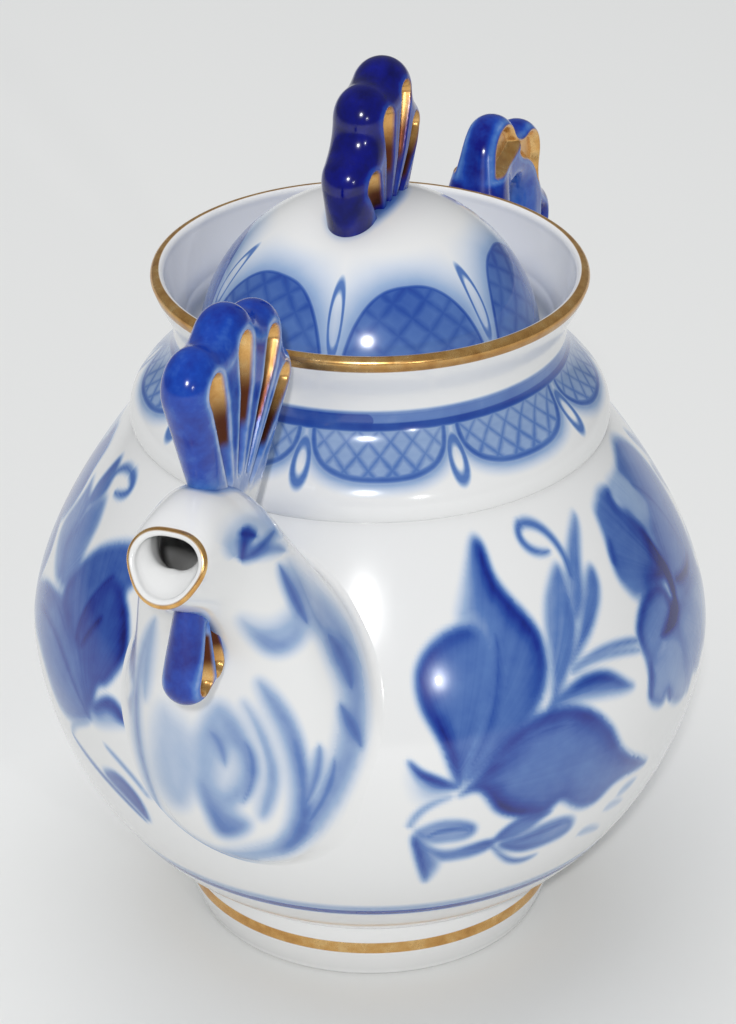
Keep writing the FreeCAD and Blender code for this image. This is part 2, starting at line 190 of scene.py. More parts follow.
OUTSIDE = np.vstack([curve(LOWER, 240), curve(UPPER, 240)[1:], curve(ROLL, 24)[1:], curve(RISE, 90)[1:],
                     curve(FLARE, 60)[1:]])


def pot_r(z):
    """Outer radius of the pot at a height."""
    return np.interp(z, OUTSIDE[:, 1], OUTSIDE[:, 0])


def weld(grid, close_rows, close_cols):
    """Grid of places to places, faces and the grid number of each place.

    Neighbours in the grid make a quad, the ends are joined where the grid closes, places that coincide
    become one, and the faces are turned so that the enclosed volume is positive.
    """
    rows, cols = grid.shape[:2]
    flat = grid.reshape(-1, 3)
    _, first, index = np.unique(np.round(flat, 4), axis=0, return_index=True, return_inverse=True)
    index = index.reshape(rows, cols)
    if close_rows:
        index = np.vstack([index, index[:1]])
    if close_cols:
        index = np.hstack([index, index[:, :1]])
    quads = np.stack([index[:-1, :-1], index[1:, :-1], index[1:, 1:], index[:-1, 1:]], -1).reshape(-1, 4)
    places = flat[first]
    corner = places[quads]
    volume = (np.cross(corner[:, 0], corner[:, 1]) * corner[:, 2]).sum()
    volume += (np.cross(corner[:, 0], corner[:, 2]) * corner[:, 3]).sum()
    if volume < 0:
        quads = quads[:, ::-1]
    repeat = quads == np.roll(quads, -1, axis=1)
    whole = quads[~repeat.any(1)]
    once = repeat.sum(1) == 1
    keep = (repeat[once].argmax(1)[:, None] + np.array([1, 2, 3])) % 4
    faces = whole.tolist() + np.take_along_axis(quads[once], keep, 1).tolist()
    return places, faces, first


def piece(name, grid, body, node, material, fields=None, close_rows=True, close_cols=True):
    """Mesh object of a grid of places in millimetres, riding on a body in place of a CAD node.

    Each field is a grid of values that becomes an attribute of the same name for the material.
    """
    places, faces, first = weld(grid, close_rows, close_cols)
    mesh = bpy.data.meshes.new(name)
    mesh.from_pydata(places * MM, [], faces)
    for label, values in (fields or {}).items():
        layer = mesh.attributes.new(label, "FLOAT", "POINT")
        layer.data.foreach_set("value", np.ascontiguousarray(values.reshape(-1)[first], np.float32))
    mesh.shade_smooth()
    mesh.set_sharp_from_angle(angle=math.radians(52))
    mesh.materials.append(material)
    made = bpy.data.objects.new(name, mesh)
    bpy.context.scene.collection.objects.link(made)
    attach(made, body)
    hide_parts(node)
    return made


# Brush painting on the belly and the breast

def stroke(places, axis, left, right, blunt, sharp, samples=48):
    """One brush stroke: how far inside its outline, place across it from -1 to 1, place along it from 0 to 1.

    Each place is measured from the nearest sample of the stroke's curved axis. The half widths left and
    right of the axis swell and die away along it as share^blunt * (1 - share)^sharp.
    """
    spine = curve(axis, samples)
    away = places[:, None, :] - spine[None]
    near = np.argmin((away ** 2).sum(-1), 1)
    tangent = np.gradient(spine, axis=0)
    tangent /= np.linalg.norm(tangent, axis=1)[:, None]
    off = away[np.arange(len(places)), near]
    ahead = (off * tangent[near]).sum(-1)
    step = np.linalg.norm(np.diff(spine, axis=0), axis=1).mean()
    along = np.clip((near + np.clip(ahead / step, -.5, .5)) / (samples - 1), 0, 1)
    aside = tangent[near, 0] * off[:, 1] - tangent[near, 1] * off[:, 0]
    past = ((near == 0) & (ahead < 0)) | ((near == samples - 1) & (ahead > 0))
    gap = np.hypot(np.where(past, ahead, 0), aside)
    peak = blunt / (blunt + sharp)
    swell = (along / peak) ** blunt * ((1 - along) / (1 - peak)) ** sharp
    reach = np.where(aside > 0, left, right) * swell
    return reach - gap, np.sign(aside) * gap / np.maximum(reach, .3), along


def leaf(places, outline):
    """One leaf or petal: how far inside its outline, and the tone of its edge as felt from each place.

    The outline is a closed spline through marks of (across, up, edge tone). A place is inside when a line
    from it to the right crosses the outline an odd number of times. It feels each part of the edge by
    1 / distance^4.
    """
    marks = np.asarray(outline, float)
    ring = np.vstack([marks[-3:], marks, marks[:3]])
    at = 3 + np.arange(240) * len(marks) / 240
    edge = np.stack([spline(ring[:, k], at) for k in range(3)], 1)
    ahead = np.roll(edge, -1, 0)
    square = ((places[:, None, :] - edge[None, :, :2]) ** 2).sum(-1)
    across, up = places[:, :1], places[:, 1:]
    passes = (edge[:, 1] > up) != (ahead[:, 1] > up)
    rise = np.where(ahead[:, 1] == edge[:, 1], 1, ahead[:, 1] - edge[:, 1])
    meets = edge[:, 0] + (up - edge[:, 1]) * (ahead[:, 0] - edge[:, 0]) / rise
    inside = (passes & (across < meets)).sum(1) % 2 == 1
    felt = 1 / (square + .3) ** 2
    return np.where(inside, 1, -1) * np.sqrt(square.min(1)), felt @ edge[:, 2] / felt.sum(1)


def lay(pigment, chosen, tone, cover):
    """Pigment laid over what is there, which still shows a little through a paler tone."""
    under = pigment[chosen]
    pigment[chosen] = under * (1 - cover) + np.maximum(tone, under * .35) * cover


def about(places, marks, reach):
    """Numbers of the places within reach of the box round some marks."""
    return np.flatnonzero(np.all((places > marks.min(0) - reach) & (places < marks.max(0) + reach), 1))


def paint(places, leaves, strokes):
    """Pigment and bristle place left on flat places by leaves and then by strokes, one over the other.

    A leaf is (outline, inner tone, width of the edge tone, edge softness). A stroke is (axis, left width,
    right width, blunt, sharp, (left, middle, right) tones, edge softness).
    """
    pigment, bristle = np.zeros(len(places)), np.zeros(len(places))
    for outline, inner, fade, soft in leaves:
        chosen = about(places, np.asarray(outline)[:, :2], 6)
        if len(chosen):
            gap, edge = leaf(places[chosen], outline)
            tone = inner + (edge - inner) * np.exp(-(np.clip(gap, 0, None) / fade) ** 2)
            cover = smooth(-1.3 * soft, 1.3 * soft, gap)
            lay(pigment, chosen, tone, cover)
            fan = places[chosen] - np.asarray(outline)[0, :2]
            sweep = 16 * np.arctan2(fan[:, 1], np.abs(fan[:, 0]) + 2)
            bristle[chosen] = np.where(cover > .4, sweep, bristle[chosen])
    for axis, left, right, blunt, sharp, (tone_l, tone_m, tone_r), soft in strokes:
        chosen = about(places, np.asarray(axis, float), max(left, right) + 4)
        if len(chosen):
            gap, across, _ = stroke(places[chosen], axis, left, right, blunt, sharp)
            side = np.clip(across, -1, 1)
            tone = tone_m + (tone_l - tone_m) * np.clip(side, 0, 1) ** 1.6
            tone = tone + (tone_r - tone_m) * np.clip(-side, 0, 1) ** 1.6
            cover = smooth(-soft, soft, gap)
            lay(pigment, chosen, tone, cover)
            bristle[chosen] = np.where(cover > .4, across * (left + right) / 2, bristle[chosen])
    return pigment, bristle


# Belly painting: marks are (millimetres along the belly from the middle of a flank, height), with the spout at -118
# Near flank: slender leaves, small leaf, flame, heart, broad leaf, dark leaf, bell and low flowers
LEAVES = [
    ([(-47.8, 84.4, 0.5), (-46.4, 91, 0.5), (-45.5, 98.3, 0.42), (-43.6, 103.5, 0.42), (-39.6, 107.5, 0.5),
      (-36.3, 108.8, 0.5), (-35.5, 104.9, 0.55), (-36.3, 99.3, 0.62), (-38.7, 94.1, 0.64),
      (-43.2, 88.5, 0.58)], 0.47, 2.5, 1.2),
    ([(-40.9, 90.9, 0.55), (-36.8, 96.1, 0.5), (-32.6, 100.9, 0.5), (-28.9, 104.9, 0.55), (-25.8, 105.8, 0.6),
      (-25.9, 102.3, 0.6), (-29.3, 98.2, 0.64), (-34.2, 94.5, 0.66), (-37.9, 92.2, 0.6)], 0.52, 2.5, 1.2),
    ([(-36.7, 98.6, 0.5), (-36.3, 103.5, 0.4), (-33.2, 109.2, 0.45), (-26.7, 114.2, 0.5), (-23.4, 115.4, 0.5),
      (-24.5, 112.8, 0.5), (-28.5, 108.1, 0.55), (-31.2, 103, 0.58), (-33.9, 99.5, 0.55)], 0.47, 2.5, 1.2),
    ([(-48.7, 84.2, 0.5), (-42.7, 86.7, 0.75), (-37.6, 87.5, 0.88), (-31.5, 86.2, 0.88), (-26.7, 82.6, 0.7),
      (-24.7, 80.6, 0.5), (-28.4, 80.4, 0.42), (-36.6, 82.2, 0.4), (-43.5, 83.2, 0.45)], 0.5, 3, 1.2),
    ([(-69.2, 72.6, 0.6), (-66.4, 83, 0.5), (-63.3, 94.3, 0.5), (-64.5, 101.6, 0.35), (-67.7, 104.2, 0.22),
      (-65.4, 109.2, 0.25), (-61.6, 115, 0.5), (-59, 117.2, 0.85), (-56.8, 115.6, 1), (-55.8, 110.6, 1), (-52, 105, 1),
      (-47.7, 98.8, 0.98), (-47.7, 91.3, 0.85), (-51.6, 84.5, 0.68), (-59, 78.4, 0.65),
      (-65.4, 73.4, 0.65)], 0.56, 4, 1.4),
    ([(-70.5, 71, 0.75), (-73.6, 79.9, 1), (-77.3, 87.2, 0.95), (-78.8, 93.4, 0.88), (-77, 98.1, 0.85),
      (-72, 101.6, 0.8), (-65.4, 102.6, 0.78), (-61.2, 99.6, 0.55), (-61.3, 94, 0.55), (-63.8, 86.9, 0.6),
      (-67.7, 77.7, 0.66)], 0.54, 3.6, 1.3),
    ([(-70, 68.7, 0.65), (-63.5, 75.6, 0.88), (-56.7, 81.2, 0.92), (-50.2, 83.3, 0.88), (-43.6, 82.8, 0.9),
      (-37.1, 79.4, 0.92), (-32, 72.9, 0.85), (-26.7, 65.1, 0.8), (-17, 57.5, 0.75), (-26.6, 57.9, 0.62),
      (-32.7, 55.1, 0.62), (-39.3, 55.4, 0.66), (-45.2, 59.9, 0.72), (-48.8, 57.9, 0.85), (-55.9, 59.1, 0.98),
      (-62, 63.2, 0.98), (-66.2, 68.8, 0.88)], 0.57, 4, 1.3),
    ([(-80.5, 75.3, 0.15), (-79.5, 69, 0.12), (-75, 67.4, 0.12), (-72.3, 69.3, 0.2),
      (-76, 71.9, 0.28)], 0.2, 2, 2),
    ([(-70.7, 70.6, 0.7), (-75.1, 73.7, 1), (-78.7, 75.7, 1), (-80.9, 77.5, 0.85), (-79.6, 74.1, 0.5),
      (-77.8, 71.6, 0.4), (-75.1, 70.2, 0.45)], 0.8, 2.2, 1),
    ([(-79.2, 58.9, 0.6), (-77.9, 60.7, 0.48), (-73.8, 62, 0.48), (-68.6, 61.1, 0.55), (-65.9, 58.6, 0.66),
      (-67.6, 55.8, 0.48), (-72.4, 55.4, 0.42), (-76.2, 56, 0.5)], 0.36, 1.6, 1.1),
    ([(-79.1, 56.3, 0.7), (-74.2, 53.7, 0.52), (-68.3, 53.2, 0.58), (-62.8, 54, 0.8), (-60.6, 52.7, 0.75),
      (-63.8, 50.1, 0.58), (-69.8, 49.4, 0.52), (-75.4, 51.1, 0.62)], 0.46, 2, 1.1),
    ([(-79.6, 58.3, 0.75), (-78.8, 51.5, 0.9), (-76.7, 43.9, 0.7), (-75.1, 43.3, 0.4), (-73.1, 47.9, 0.3),
      (-75.1, 53.1, 0.4)], 0.52, 2, 1.1),
    ([(-60.7, 53.4, 0.75), (-56.8, 58.1, 0.72), (-51.6, 58.5, 0.78), (-47.6, 57.7, 0.72), (-50, 55.8, 0.55),
      (-53.8, 53.2, 0.5)], 0.55, 2, 1),
    ([(-59.4, 51.6, 0.72), (-53.8, 53.2, 0.55), (-47.5, 54.8, 0.5), (-40.5, 53.2, 0.55), (-39.9, 48.3, 0.52),
      (-46.3, 46.9, 0.58), (-53.5, 47.6, 0.74)], 0.47, 2, 1.1),
    ([(-60.9, 51.4, 0.7), (-56.8, 47.3, 0.66), (-51.5, 44.6, 0.62), (-47.7, 44.2, 0.5), (-50.9, 42.9, 0.5),
      (-57, 45.9, 0.6)], 0.6, 2, 1),
]
# Curl, stems, veins and pale sprays
LEAF_STROKES = [
    ([(-33.5, 105.6), (-32, 111.8), (-36.2, 117.4),
      (-43.1, 117.7)], 1, 1, 0.15, 0.1, (0.5, 0.58, 0.5), 1),
    ([(-43.1, 117.7), (-47.2, 116.7), (-44.2, 111.6),
      (-37.1, 111.5)], 1, 1, 0.1, 0.4, (0.56, 0.6, 0.56), 1),
    ([(-41.5, 88.9), (-34.8, 91.7), (-26.6, 90.8), (-19, 88.3)], 0.9, 0.9, 0.3, 0.2, (0.48, 0.48, 0.48), 1),
    ([(-40.7, 89.5), (-33.9, 90.5), (-26.1, 88.8), (-19.9, 86.6)], 0.8, 0.8, 0.3, 0.2, (0.4, 0.4, 0.4), 1),
    ([(-80.7, 60.7), (-79.5, 65.6), (-75.9, 67.6), (-71.8, 68.3)], 0.9, 0.9, 0.2, 0.4, (0.35, 0.35, 0.35), 1),
    ([(-67.9, 74.9), (-62.7, 82.4), (-59.1, 91.1), (-58.5, 100)], 0.9, 1.6, 0.5, 0.6, (0.62, 0.68, 0.58), 1.2),
    ([(-62.1, 75.3), (-54.9, 79.4), (-48.5, 80.1), (-42, 78.3)], 0.7, 1.6, 0.5, 0.6, (0.62, 0.72, 0.6), 1.2),
    ([(-76.4, 57.9), (-73.6, 59.5), (-70.8, 59.4), (-67.9, 58.5)], 0.5, 0.5, 0.5, 0.5, (0.62, 0.62, 0.62), 0.7),
    ([(-55.5, 51.1), (-51.2, 51.6), (-46.7, 51.9), (-43.3, 52.5)], 0.5, 0.5, 0.5, 0.5, (0.66, 0.66, 0.66), 0.7),
    ([(-35.3, 44.9), (-33.8, 46.7), (-26.9, 42.8)], 1.4, 1.4, 0.6, 0.6, (0.25, 0.25, 0.25), 1.2),
    ([(-28.7, 49.5), (-27.2, 51), (-21.7, 48.6)], 1.4, 1.4, 0.6, 0.6, (0.22, 0.22, 0.22), 1.2),
    ([(-25.6, 52.4), (-23, 53.5), (-18.9, 53.8)], 1.6, 1.6, 0.6, 0.6, (0.25, 0.25, 0.25), 1.2),
]
# Rose in the middle of the flank: ground, petals behind, low petals, pale petal, frill and the two front petals
ROSE = [
    ([(0, 92, 0.5), (-9, 98, 0.5), (-4, 110, 0.5), (4, 116, 0.5), (16, 114, 0.5), (27, 104, 0.5),
      (27, 90, 0.5), (21, 77, 0.5), (8, 71, 0.5), (-6, 75, 0.5), (-8, 85, 0.5)], 0.5, 4, 1.6),
    ([(2.3, 90.6, 0.6), (3.2, 99.5, 0.75), (5.4, 104.3, 0.7), (6.2, 108.2, 0.66), (6.4, 112.2, 0.62),
      (6.1, 115.5, 0.6), (10.8, 118, 0.6), (17.6, 119, 0.55), (26, 115, 0.55), (31, 106, 0.55),
      (30.5, 96, 0.62), (26, 88.5, 0.64), (17, 84.5, 0.64), (8, 86.2, 0.66)], 0.56, 4, 1.4),
    ([(5, 87, 0.7), (17, 87.5, 0.62), (26, 84, 0.6), (28.5, 77, 0.62), (23, 70.5, 0.6), (15, 70, 0.62),
      (12, 73, 0.66), (9, 69, 0.58), (3.5, 71, 0.55), (1, 79, 0.55)], 0.42, 2.4, 1.3),
    ([(-1, 87.9, 0.8), (8, 86.2, 0.55), (13.5, 81.2, 0.5), (10.2, 75.2, 0.5), (3.5, 71.5, 0.5),
      (-0.3, 66.9, 0.5), (-3.7, 74.5, 0.55), (-4.9, 81.7, 0.62)], 0.47, 3, 1.4),
    ([(5.6, 104.3, 0.42), (0.9, 106.1, 0.36), (-1.3, 109.3, 0.34), (-4.8, 113, 0.32), (-4.7, 115.4, 0.32),
      (-1.4, 116.3, 0.32), (5, 115.5, 0.3), (8, 112, 0.34), (10.4, 107, 0.4)], 0.3, 2.5, 1.2),
    ([(-3.9, 83.3, 0.6), (-8.9, 85.2, 0.5), (-12.6, 83.5, 0.42), (-18.2, 83.8, 0.66), (-18.7, 79.9, 0.8),
      (-20, 76.6, 0.74), (-18.5, 73.4, 0.6), (-14.6, 71.8, 0.56), (-12.4, 73.2, 0.6), (-10, 69.9, 0.55),
      (-4.7, 67.4, 0.5), (-1.7, 68.7, 0.5), (-1.8, 73.9, 0.5), (-2, 78.5, 0.55)], 0.4, 1.8, 1.2),
    ([(-0.4, 94.8, 1), (-5.8, 95.4, 0.9), (-11, 95.4, 0.62), (-15.1, 95.8, 0.5), (-17.3, 98.2, 0.52),
      (-18.7, 101.3, 0.58), (-18.4, 105, 0.66), (-17.3, 108.3, 0.6), (-16.5, 111.8, 0.52),
      (-15.5, 114.1, 0.5), (-12.8, 115.2, 0.55), (-9.4, 116.1, 0.6), (-5, 115.4, 0.9), (-5.2, 113.1, 0.8),
      (-2.3, 108.8, 0.75), (0.6, 105.2, 0.9), (0.6, 102.2, 1.02), (0.6, 98.1, 1.05)], 0.6, 4, 1.3),
    ([(-2.2, 92.5, 1), (-5.5, 95.2, 1), (-11.6, 95.3, 0.95), (-16.1, 93.4, 0.9), (-19, 90.6, 0.85),
      (-19.5, 87.2, 0.8), (-18.1, 83.2, 0.72), (-14.9, 82.2, 0.5), (-11.2, 83.7, 0.5), (-8.3, 85.4, 0.7),
      (-3.6, 86.6, 1), (-1.9, 89.2, 1)], 0.5, 2.4, 1.2),
]
# Heart of the rose and the folds of its petals
ROSE_STROKES = [
    ([(0.2, 103.9), (1.4, 98.5), (2.8, 93), (-0.1, 89.9)], 1.9, 1.9, 0.7, 0.3, (1, 1.06, 1.02), 1.2),
    ([(0.2, 90.1), (-0.4, 86.6), (-6.4, 85.8), (-11.1, 85.9)], 1.9, 2.2, 0.25, 0.6, (1, 1.04, 1), 1.2),
    ([(-15.3, 108.3), (-16.6, 106.6), (-17.5, 105),
      (-17.7, 103.6)], 1, 1, 0.6, 0.6, (0.74, 0.76, 0.7), 1.2),
    ([(-17.4, 82.9), (-18, 80), (-19.5, 77.7), (-19, 75.3)], 0.8, 0.8, 0.4, 0.5, (0.8, 0.8, 0.8), 1),
    ([(-11.6, 74.4), (-12, 73.5), (-11.7, 72.2), (-10.9, 70.8)], 0.8, 0.8, 0.5, 0.5, (0.66, 0.66, 0.66), 1),
    ([(4, 92), (9, 90), (15, 89.5), (20, 91)], 1.4, 1.4, 0.3, 0.6, (0.9, 1, 0.9), 1.2),
    ([(8, 112), (14, 108), (18, 101), (18, 94)], 0.9, 0.9, 0.5, 0.6, (0.6, 0.68, 0.6), 1.2),
]
# Far flank: leaf behind, sprig of slender leaves, leaf behind the beak, small dark leaf, low flower
FAR_LEAVES = [
    ([(-76.9, 70.7, 0.72), (-70.1, 65.9, 0.5), (-62.4, 64.6, 0.42), (-56.8, 68, 0.42), (-49.8, 73, 0.42),
      (-38.8, 75, 0.45), (-31.6, 79.8, 0.55), (-40.8, 85.5, 0.66), (-48.6, 87.7, 0.72), (-56.5, 89.5, 0.72),
      (-62, 87.5, 0.7), (-67.5, 84.5, 0.66), (-72.5, 81, 0.66), (-76, 76.5, 0.7)], 0.56, 3, 1.4),
    ([(-50.2, 90, 0.5), (-43.7, 91, 0.42), (-39.3, 93, 0.42), (-34.8, 96.3, 0.45), (-36, 101.5, 0.5),
      (-37.1, 106.2, 0.55), (-36.9, 108.6, 0.62), (-41.3, 107.4, 0.6), (-46, 105.2, 0.56),
      (-46, 101, 0.6), (-47, 97.2, 0.64), (-50, 94, 0.62)], 0.48, 2.5, 1.2),
    ([(-52.6, 90, 0.55), (-47.4, 93.9, 0.6), (-44.5, 97.2, 0.62), (-45.8, 102.1, 0.6), (-47, 106.2, 0.5),
      (-51.5, 110, 0.42), (-54.9, 108.7, 0.42), (-56.9, 105.2, 0.42), (-57.2, 101.2, 0.42),
      (-57.6, 97.4, 0.46), (-56, 93.2, 0.5)], 0.5, 2.5, 1.2),
    ([(-45.1, 105.4, 0.6), (-42.8, 108.7, 0.66), (-43.7, 112.8, 0.72), (-45.8, 116.7, 0.74),
      (-48.9, 115.1, 0.6), (-50.9, 111.7, 0.5), (-49.4, 108.3, 0.55)], 0.58, 2, 1.1),
    ([(-77.2, 71, 0.75), (-73.1, 80, 0.7), (-68.8, 83.2, 0.72), (-63, 85.1, 0.78), (-58.2, 87.4, 0.82),
      (-55.4, 90.1, 0.84), (-55.4, 93.5, 0.8), (-58.1, 98, 0.76), (-61.9, 102.2, 0.72), (-66.8, 105.2, 0.7),
      (-73.2, 107.5, 0.66), (-78.8, 107.8, 0.6), (-82.1, 104.8, 0.6), (-80.8, 101, 0.66), (-79.2, 97.9, 0.7),
      (-78.6, 91.5, 0.7), (-78.1, 82.7, 0.7)], 0.64, 3.5, 1.4),
    ([(-77.2, 71, 0.8), (-74.2, 76.4, 0.75), (-71.2, 80.8, 0.72), (-68.2, 84, 0.84), (-67.4, 87.6, 0.9),
      (-68.6, 93, 0.92), (-70.9, 97.2, 0.9), (-73.5, 100.1, 0.86), (-77.9, 99.5, 0.92), (-82.1, 96.8, 1.05),
      (-84.8, 93.1, 1.06), (-86, 88.9, 1.02), (-84.8, 84.8, 0.96), (-81.8, 80.6, 0.9),
      (-79, 77.9, 0.86)], 0.74, 3, 1.2),
    ([(-78.2, 73.6, 0.42), (-77.7, 70.7, 0.36), (-81.7, 70.8, 0.3), (-86.7, 73, 0.3), (-89, 74.5, 0.34),
      (-86.4, 75.2, 0.3), (-82.7, 74.8, 0.34)], 0.3, 2, 1.6),
    ([(-78.2, 74, 0.75), (-81, 77.2, 0.86), (-84, 78.6, 0.88), (-87.1, 78, 0.88), (-89.5, 75.2, 0.95),
      (-86.4, 74.6, 0.66), (-83, 74.4, 0.6), (-80.3, 72.8, 0.58)], 0.76, 2.5, 1.1),
    ([(-78.2, 56.6, 0.6), (-83.1, 59.2, 0.66), (-87.7, 57.5, 0.78), (-90.3, 53.6, 0.85), (-90.1, 48.5, 0.8),
      (-86.8, 50.4, 0.7), (-82.4, 53.3, 0.66)], 0.62, 2, 1.1),
]
# Curl, veins, stem and low flower
FAR_STROKES = [
    ([(-49.2, 110.2), (-47.2, 113.7), (-50.5, 117.3),
      (-57.2, 117.1)], 1, 1, 0.15, 0.1, (0.5, 0.55, 0.5), 1),
    ([(-57.2, 117.1), (-64.2, 116), (-62.6, 113), (-55.2, 112.2)], 1, 1.3, 0.1, 0.35, (0.55, 0.6, 0.55), 1),
    ([(-73.2, 100.7), (-68.9, 95.7), (-66.3, 90.4), (-67.9, 85)], 0.8, 0.8, 0.4, 0.5, (0.9, 0.95, 0.9), 1),
    ([(-74.9, 92.7), (-72.9, 90), (-71.3, 87.2), (-70.6, 84.4)], 0.9, 0.9, 0.5, 0.5, (0.95, 0.98, 0.95), 1),
    ([(-41.7, 80.6), (-56.5, 84.9), (-65.7, 80.6),
      (-76.7, 70.9)], 0.8, 0.8, 0.4, 0.4, (0.72, 0.76, 0.72), 1),
    ([(-40.8, 85.2), (-51.5, 88.9), (-58.9, 86.6),
      (-63.6, 84.2)], 0.8, 0.8, 0.4, 0.4, (0.66, 0.7, 0.66), 1),
    ([(-77, 69.8), (-72.3, 67.4), (-67.6, 64.2), (-65.8, 60.4)], 0.8, 0.8, 0.3, 0.3, (0.35, 0.35, 0.35), 1),
    ([(-65.8, 60.4), (-72.6, 56.1), (-80.8, 54), (-88.8, 47.3)], 1, 1, 0.3, 0.3, (0.6, 0.62, 0.5), 1),
    ([(-81.7, 66), (-87, 63.5), (-91, 61), (-93.4, 56.7)], 0.8, 0.8, 0.4, 0.4, (0.4, 0.42, 0.4), 1),
]


# Material nodes

def linear(red, green, blue):
    """Colour picked as 0 to 255 screen values, as the light values a shader takes."""
    screen = np.array([red, green, blue]) / 255
    light = np.where(screen <= .04045, screen / 12.92, ((screen + .055) / 1.055) ** 2.4)
    return (*light.tolist(), 1.0)


def put(tree, kind, sockets=None, **settings):
    """Node with its settings, each socket given a number, a colour or another node's output."""
    made = tree.nodes.new(kind)
    for key, value in settings.items():
        setattr(made, key, value)
    for key, value in (sockets or {}).items():
        if isinstance(value, bpy.types.NodeSocket):
            tree.links.new(value, made.inputs[key])
        else:
            made.inputs[key].default_value = value
    return made


def calc(tree, operation, a, b=0.0, c=0.0, clamp=False):
    return put(tree, "ShaderNodeMath", {0: a, 1: b, 2: c}, operation=operation, use_clamp=clamp).outputs[0]


def soft_step(tree, value, low, high):
    """Value eased from 0 at low to 1 at high."""
    made = put(tree, "ShaderNodeMapRange", {"Value": value, "From Min": low, "From Max": high},
               interpolation_type="SMOOTHSTEP")
    return made.outputs[0]


def blend(tree, share, first, second):
    """Colour between two colours."""
    made = put(tree, "ShaderNodeMix", {0: share, 6: first, 7: second}, data_type="RGBA")
    return made.outputs[2]


def ramp(tree, value, stops):
    """Colour ramp with stops of (place, screen colour)."""
    made = put(tree, "ShaderNodeValToRGB", {0: value})
    band = made.color_ramp
    while len(band.elements) < len(stops):
        band.elements.new(.5)
    for element, (place, colour) in zip(band.elements, stops):
        element.position = place
        element.color = linear(*colour)
    return made.outputs[0]


def attribute(tree, label):
    return put(tree, "ShaderNodeAttribute", attribute_name=label).outputs["Fac"]


def object_place(tree):
    return put(tree, "ShaderNodeTexCoord").outputs["Object"]


def grain(tree, vector, scale, detail=2.0, rough=.5):
    return put(tree, "ShaderNodeTexNoise", {"Vector": vector, "Scale": scale, "Detail": detail, "Roughness": rough}
               ).outputs["Fac"]


def group(name, inputs, outputs):
    """Empty node group with float inputs (name, default) and outputs (name, kind)."""
    tree = bpy.data.node_groups.new(name, "ShaderNodeTree")
    for label, default in inputs:
        socket = tree.interface.new_socket(label, in_out="INPUT", socket_type="NodeSocketFloat")
        socket.default_value = default
    for label, kind in outputs:
        tree.interface.new_socket(label, in_out="OUTPUT", socket_type=kind)
    return tree, tree.nodes.new("NodeGroupInput").outputs, tree.nodes.new("NodeGroupOutput").inputs


COLOUR, VALUE = "NodeSocketColor", "NodeSocketFloat"
GLAZE_WHITE = (232, 232, 231)
WASH_STOPS = [(0, GLAZE_WHITE), (.1, (207, 215, 227)), (.28, (154, 177, 209)), (.5, (86, 121, 182)),
              (.7, (42, 80, 160)), (.86, (18, 47, 141)), (1.0, (6, 15, 102))]


def make_wash():
    """Cobalt under the glaze: pigment density to colour, with pooling and the drag of the bristles."""
    tree, given, out = group("cobalt_wash", [("Density", 0), ("Bristle", 0)], [("Color", COLOUR)])
    place = object_place(tree)
    pool = calc(tree, "SUBTRACT", grain(tree, place, 160, 3), .5)
    hair = put(tree, "ShaderNodeTexNoise", {"W": calc(tree, "MULTIPLY", given["Bristle"], .9), "Scale": 1.0,
                                            "Detail": 2.0}, noise_dimensions="1D").outputs["Fac"]
    drag = calc(tree, "SUBTRACT", hair, .5)
    drift = calc(tree, "ADD", calc(tree, "MULTIPLY", pool, .35), calc(tree, "MULTIPLY", drag, .13))
    density = calc(tree, "MULTIPLY", given["Density"], calc(tree, "ADD", drift, 1.0))
    tree.links.new(ramp(tree, density, WASH_STOPS), out["Color"])
    return tree


def make_gilding():
    """Burnished gilt laid with a brush: warm streaks, thin brown places and uneven polish."""
    tree, _, out = group("gilding", [], [("Color", COLOUR), ("Roughness", VALUE)])
    place = object_place(tree)
    thin = grain(tree, place, 260, 4, .6)
    fine = grain(tree, place, 1400, 2)
    tone = calc(tree, "ADD", calc(tree, "MULTIPLY", thin, .9), calc(tree, "MULTIPLY", fine, .1))
    tree.links.new(ramp(tree, tone, [(.25, (186, 132, 70)), (.5, (222, 172, 102)), (.75, (238, 202, 140))]), out["Color"])
    tree.links.new(calc(tree, "ADD", calc(tree, "MULTIPLY", tone, .25), .12), out["Roughness"])
    return tree


def make_skin():
    """Fired glaze: a slight waviness of the surface, as a height for bump."""
    tree, _, out = group("glaze_skin", [], [("Height", VALUE)])
    place = object_place(tree)
    wave = calc(tree, "MULTIPLY", grain(tree, place, 45, 2), 1.0)
    ripple = calc(tree, "MULTIPLY", grain(tree, place, 320, 2), .06)
    tree.links.new(calc(tree, "ADD", wave, ripple), out["Height"])
    return tree


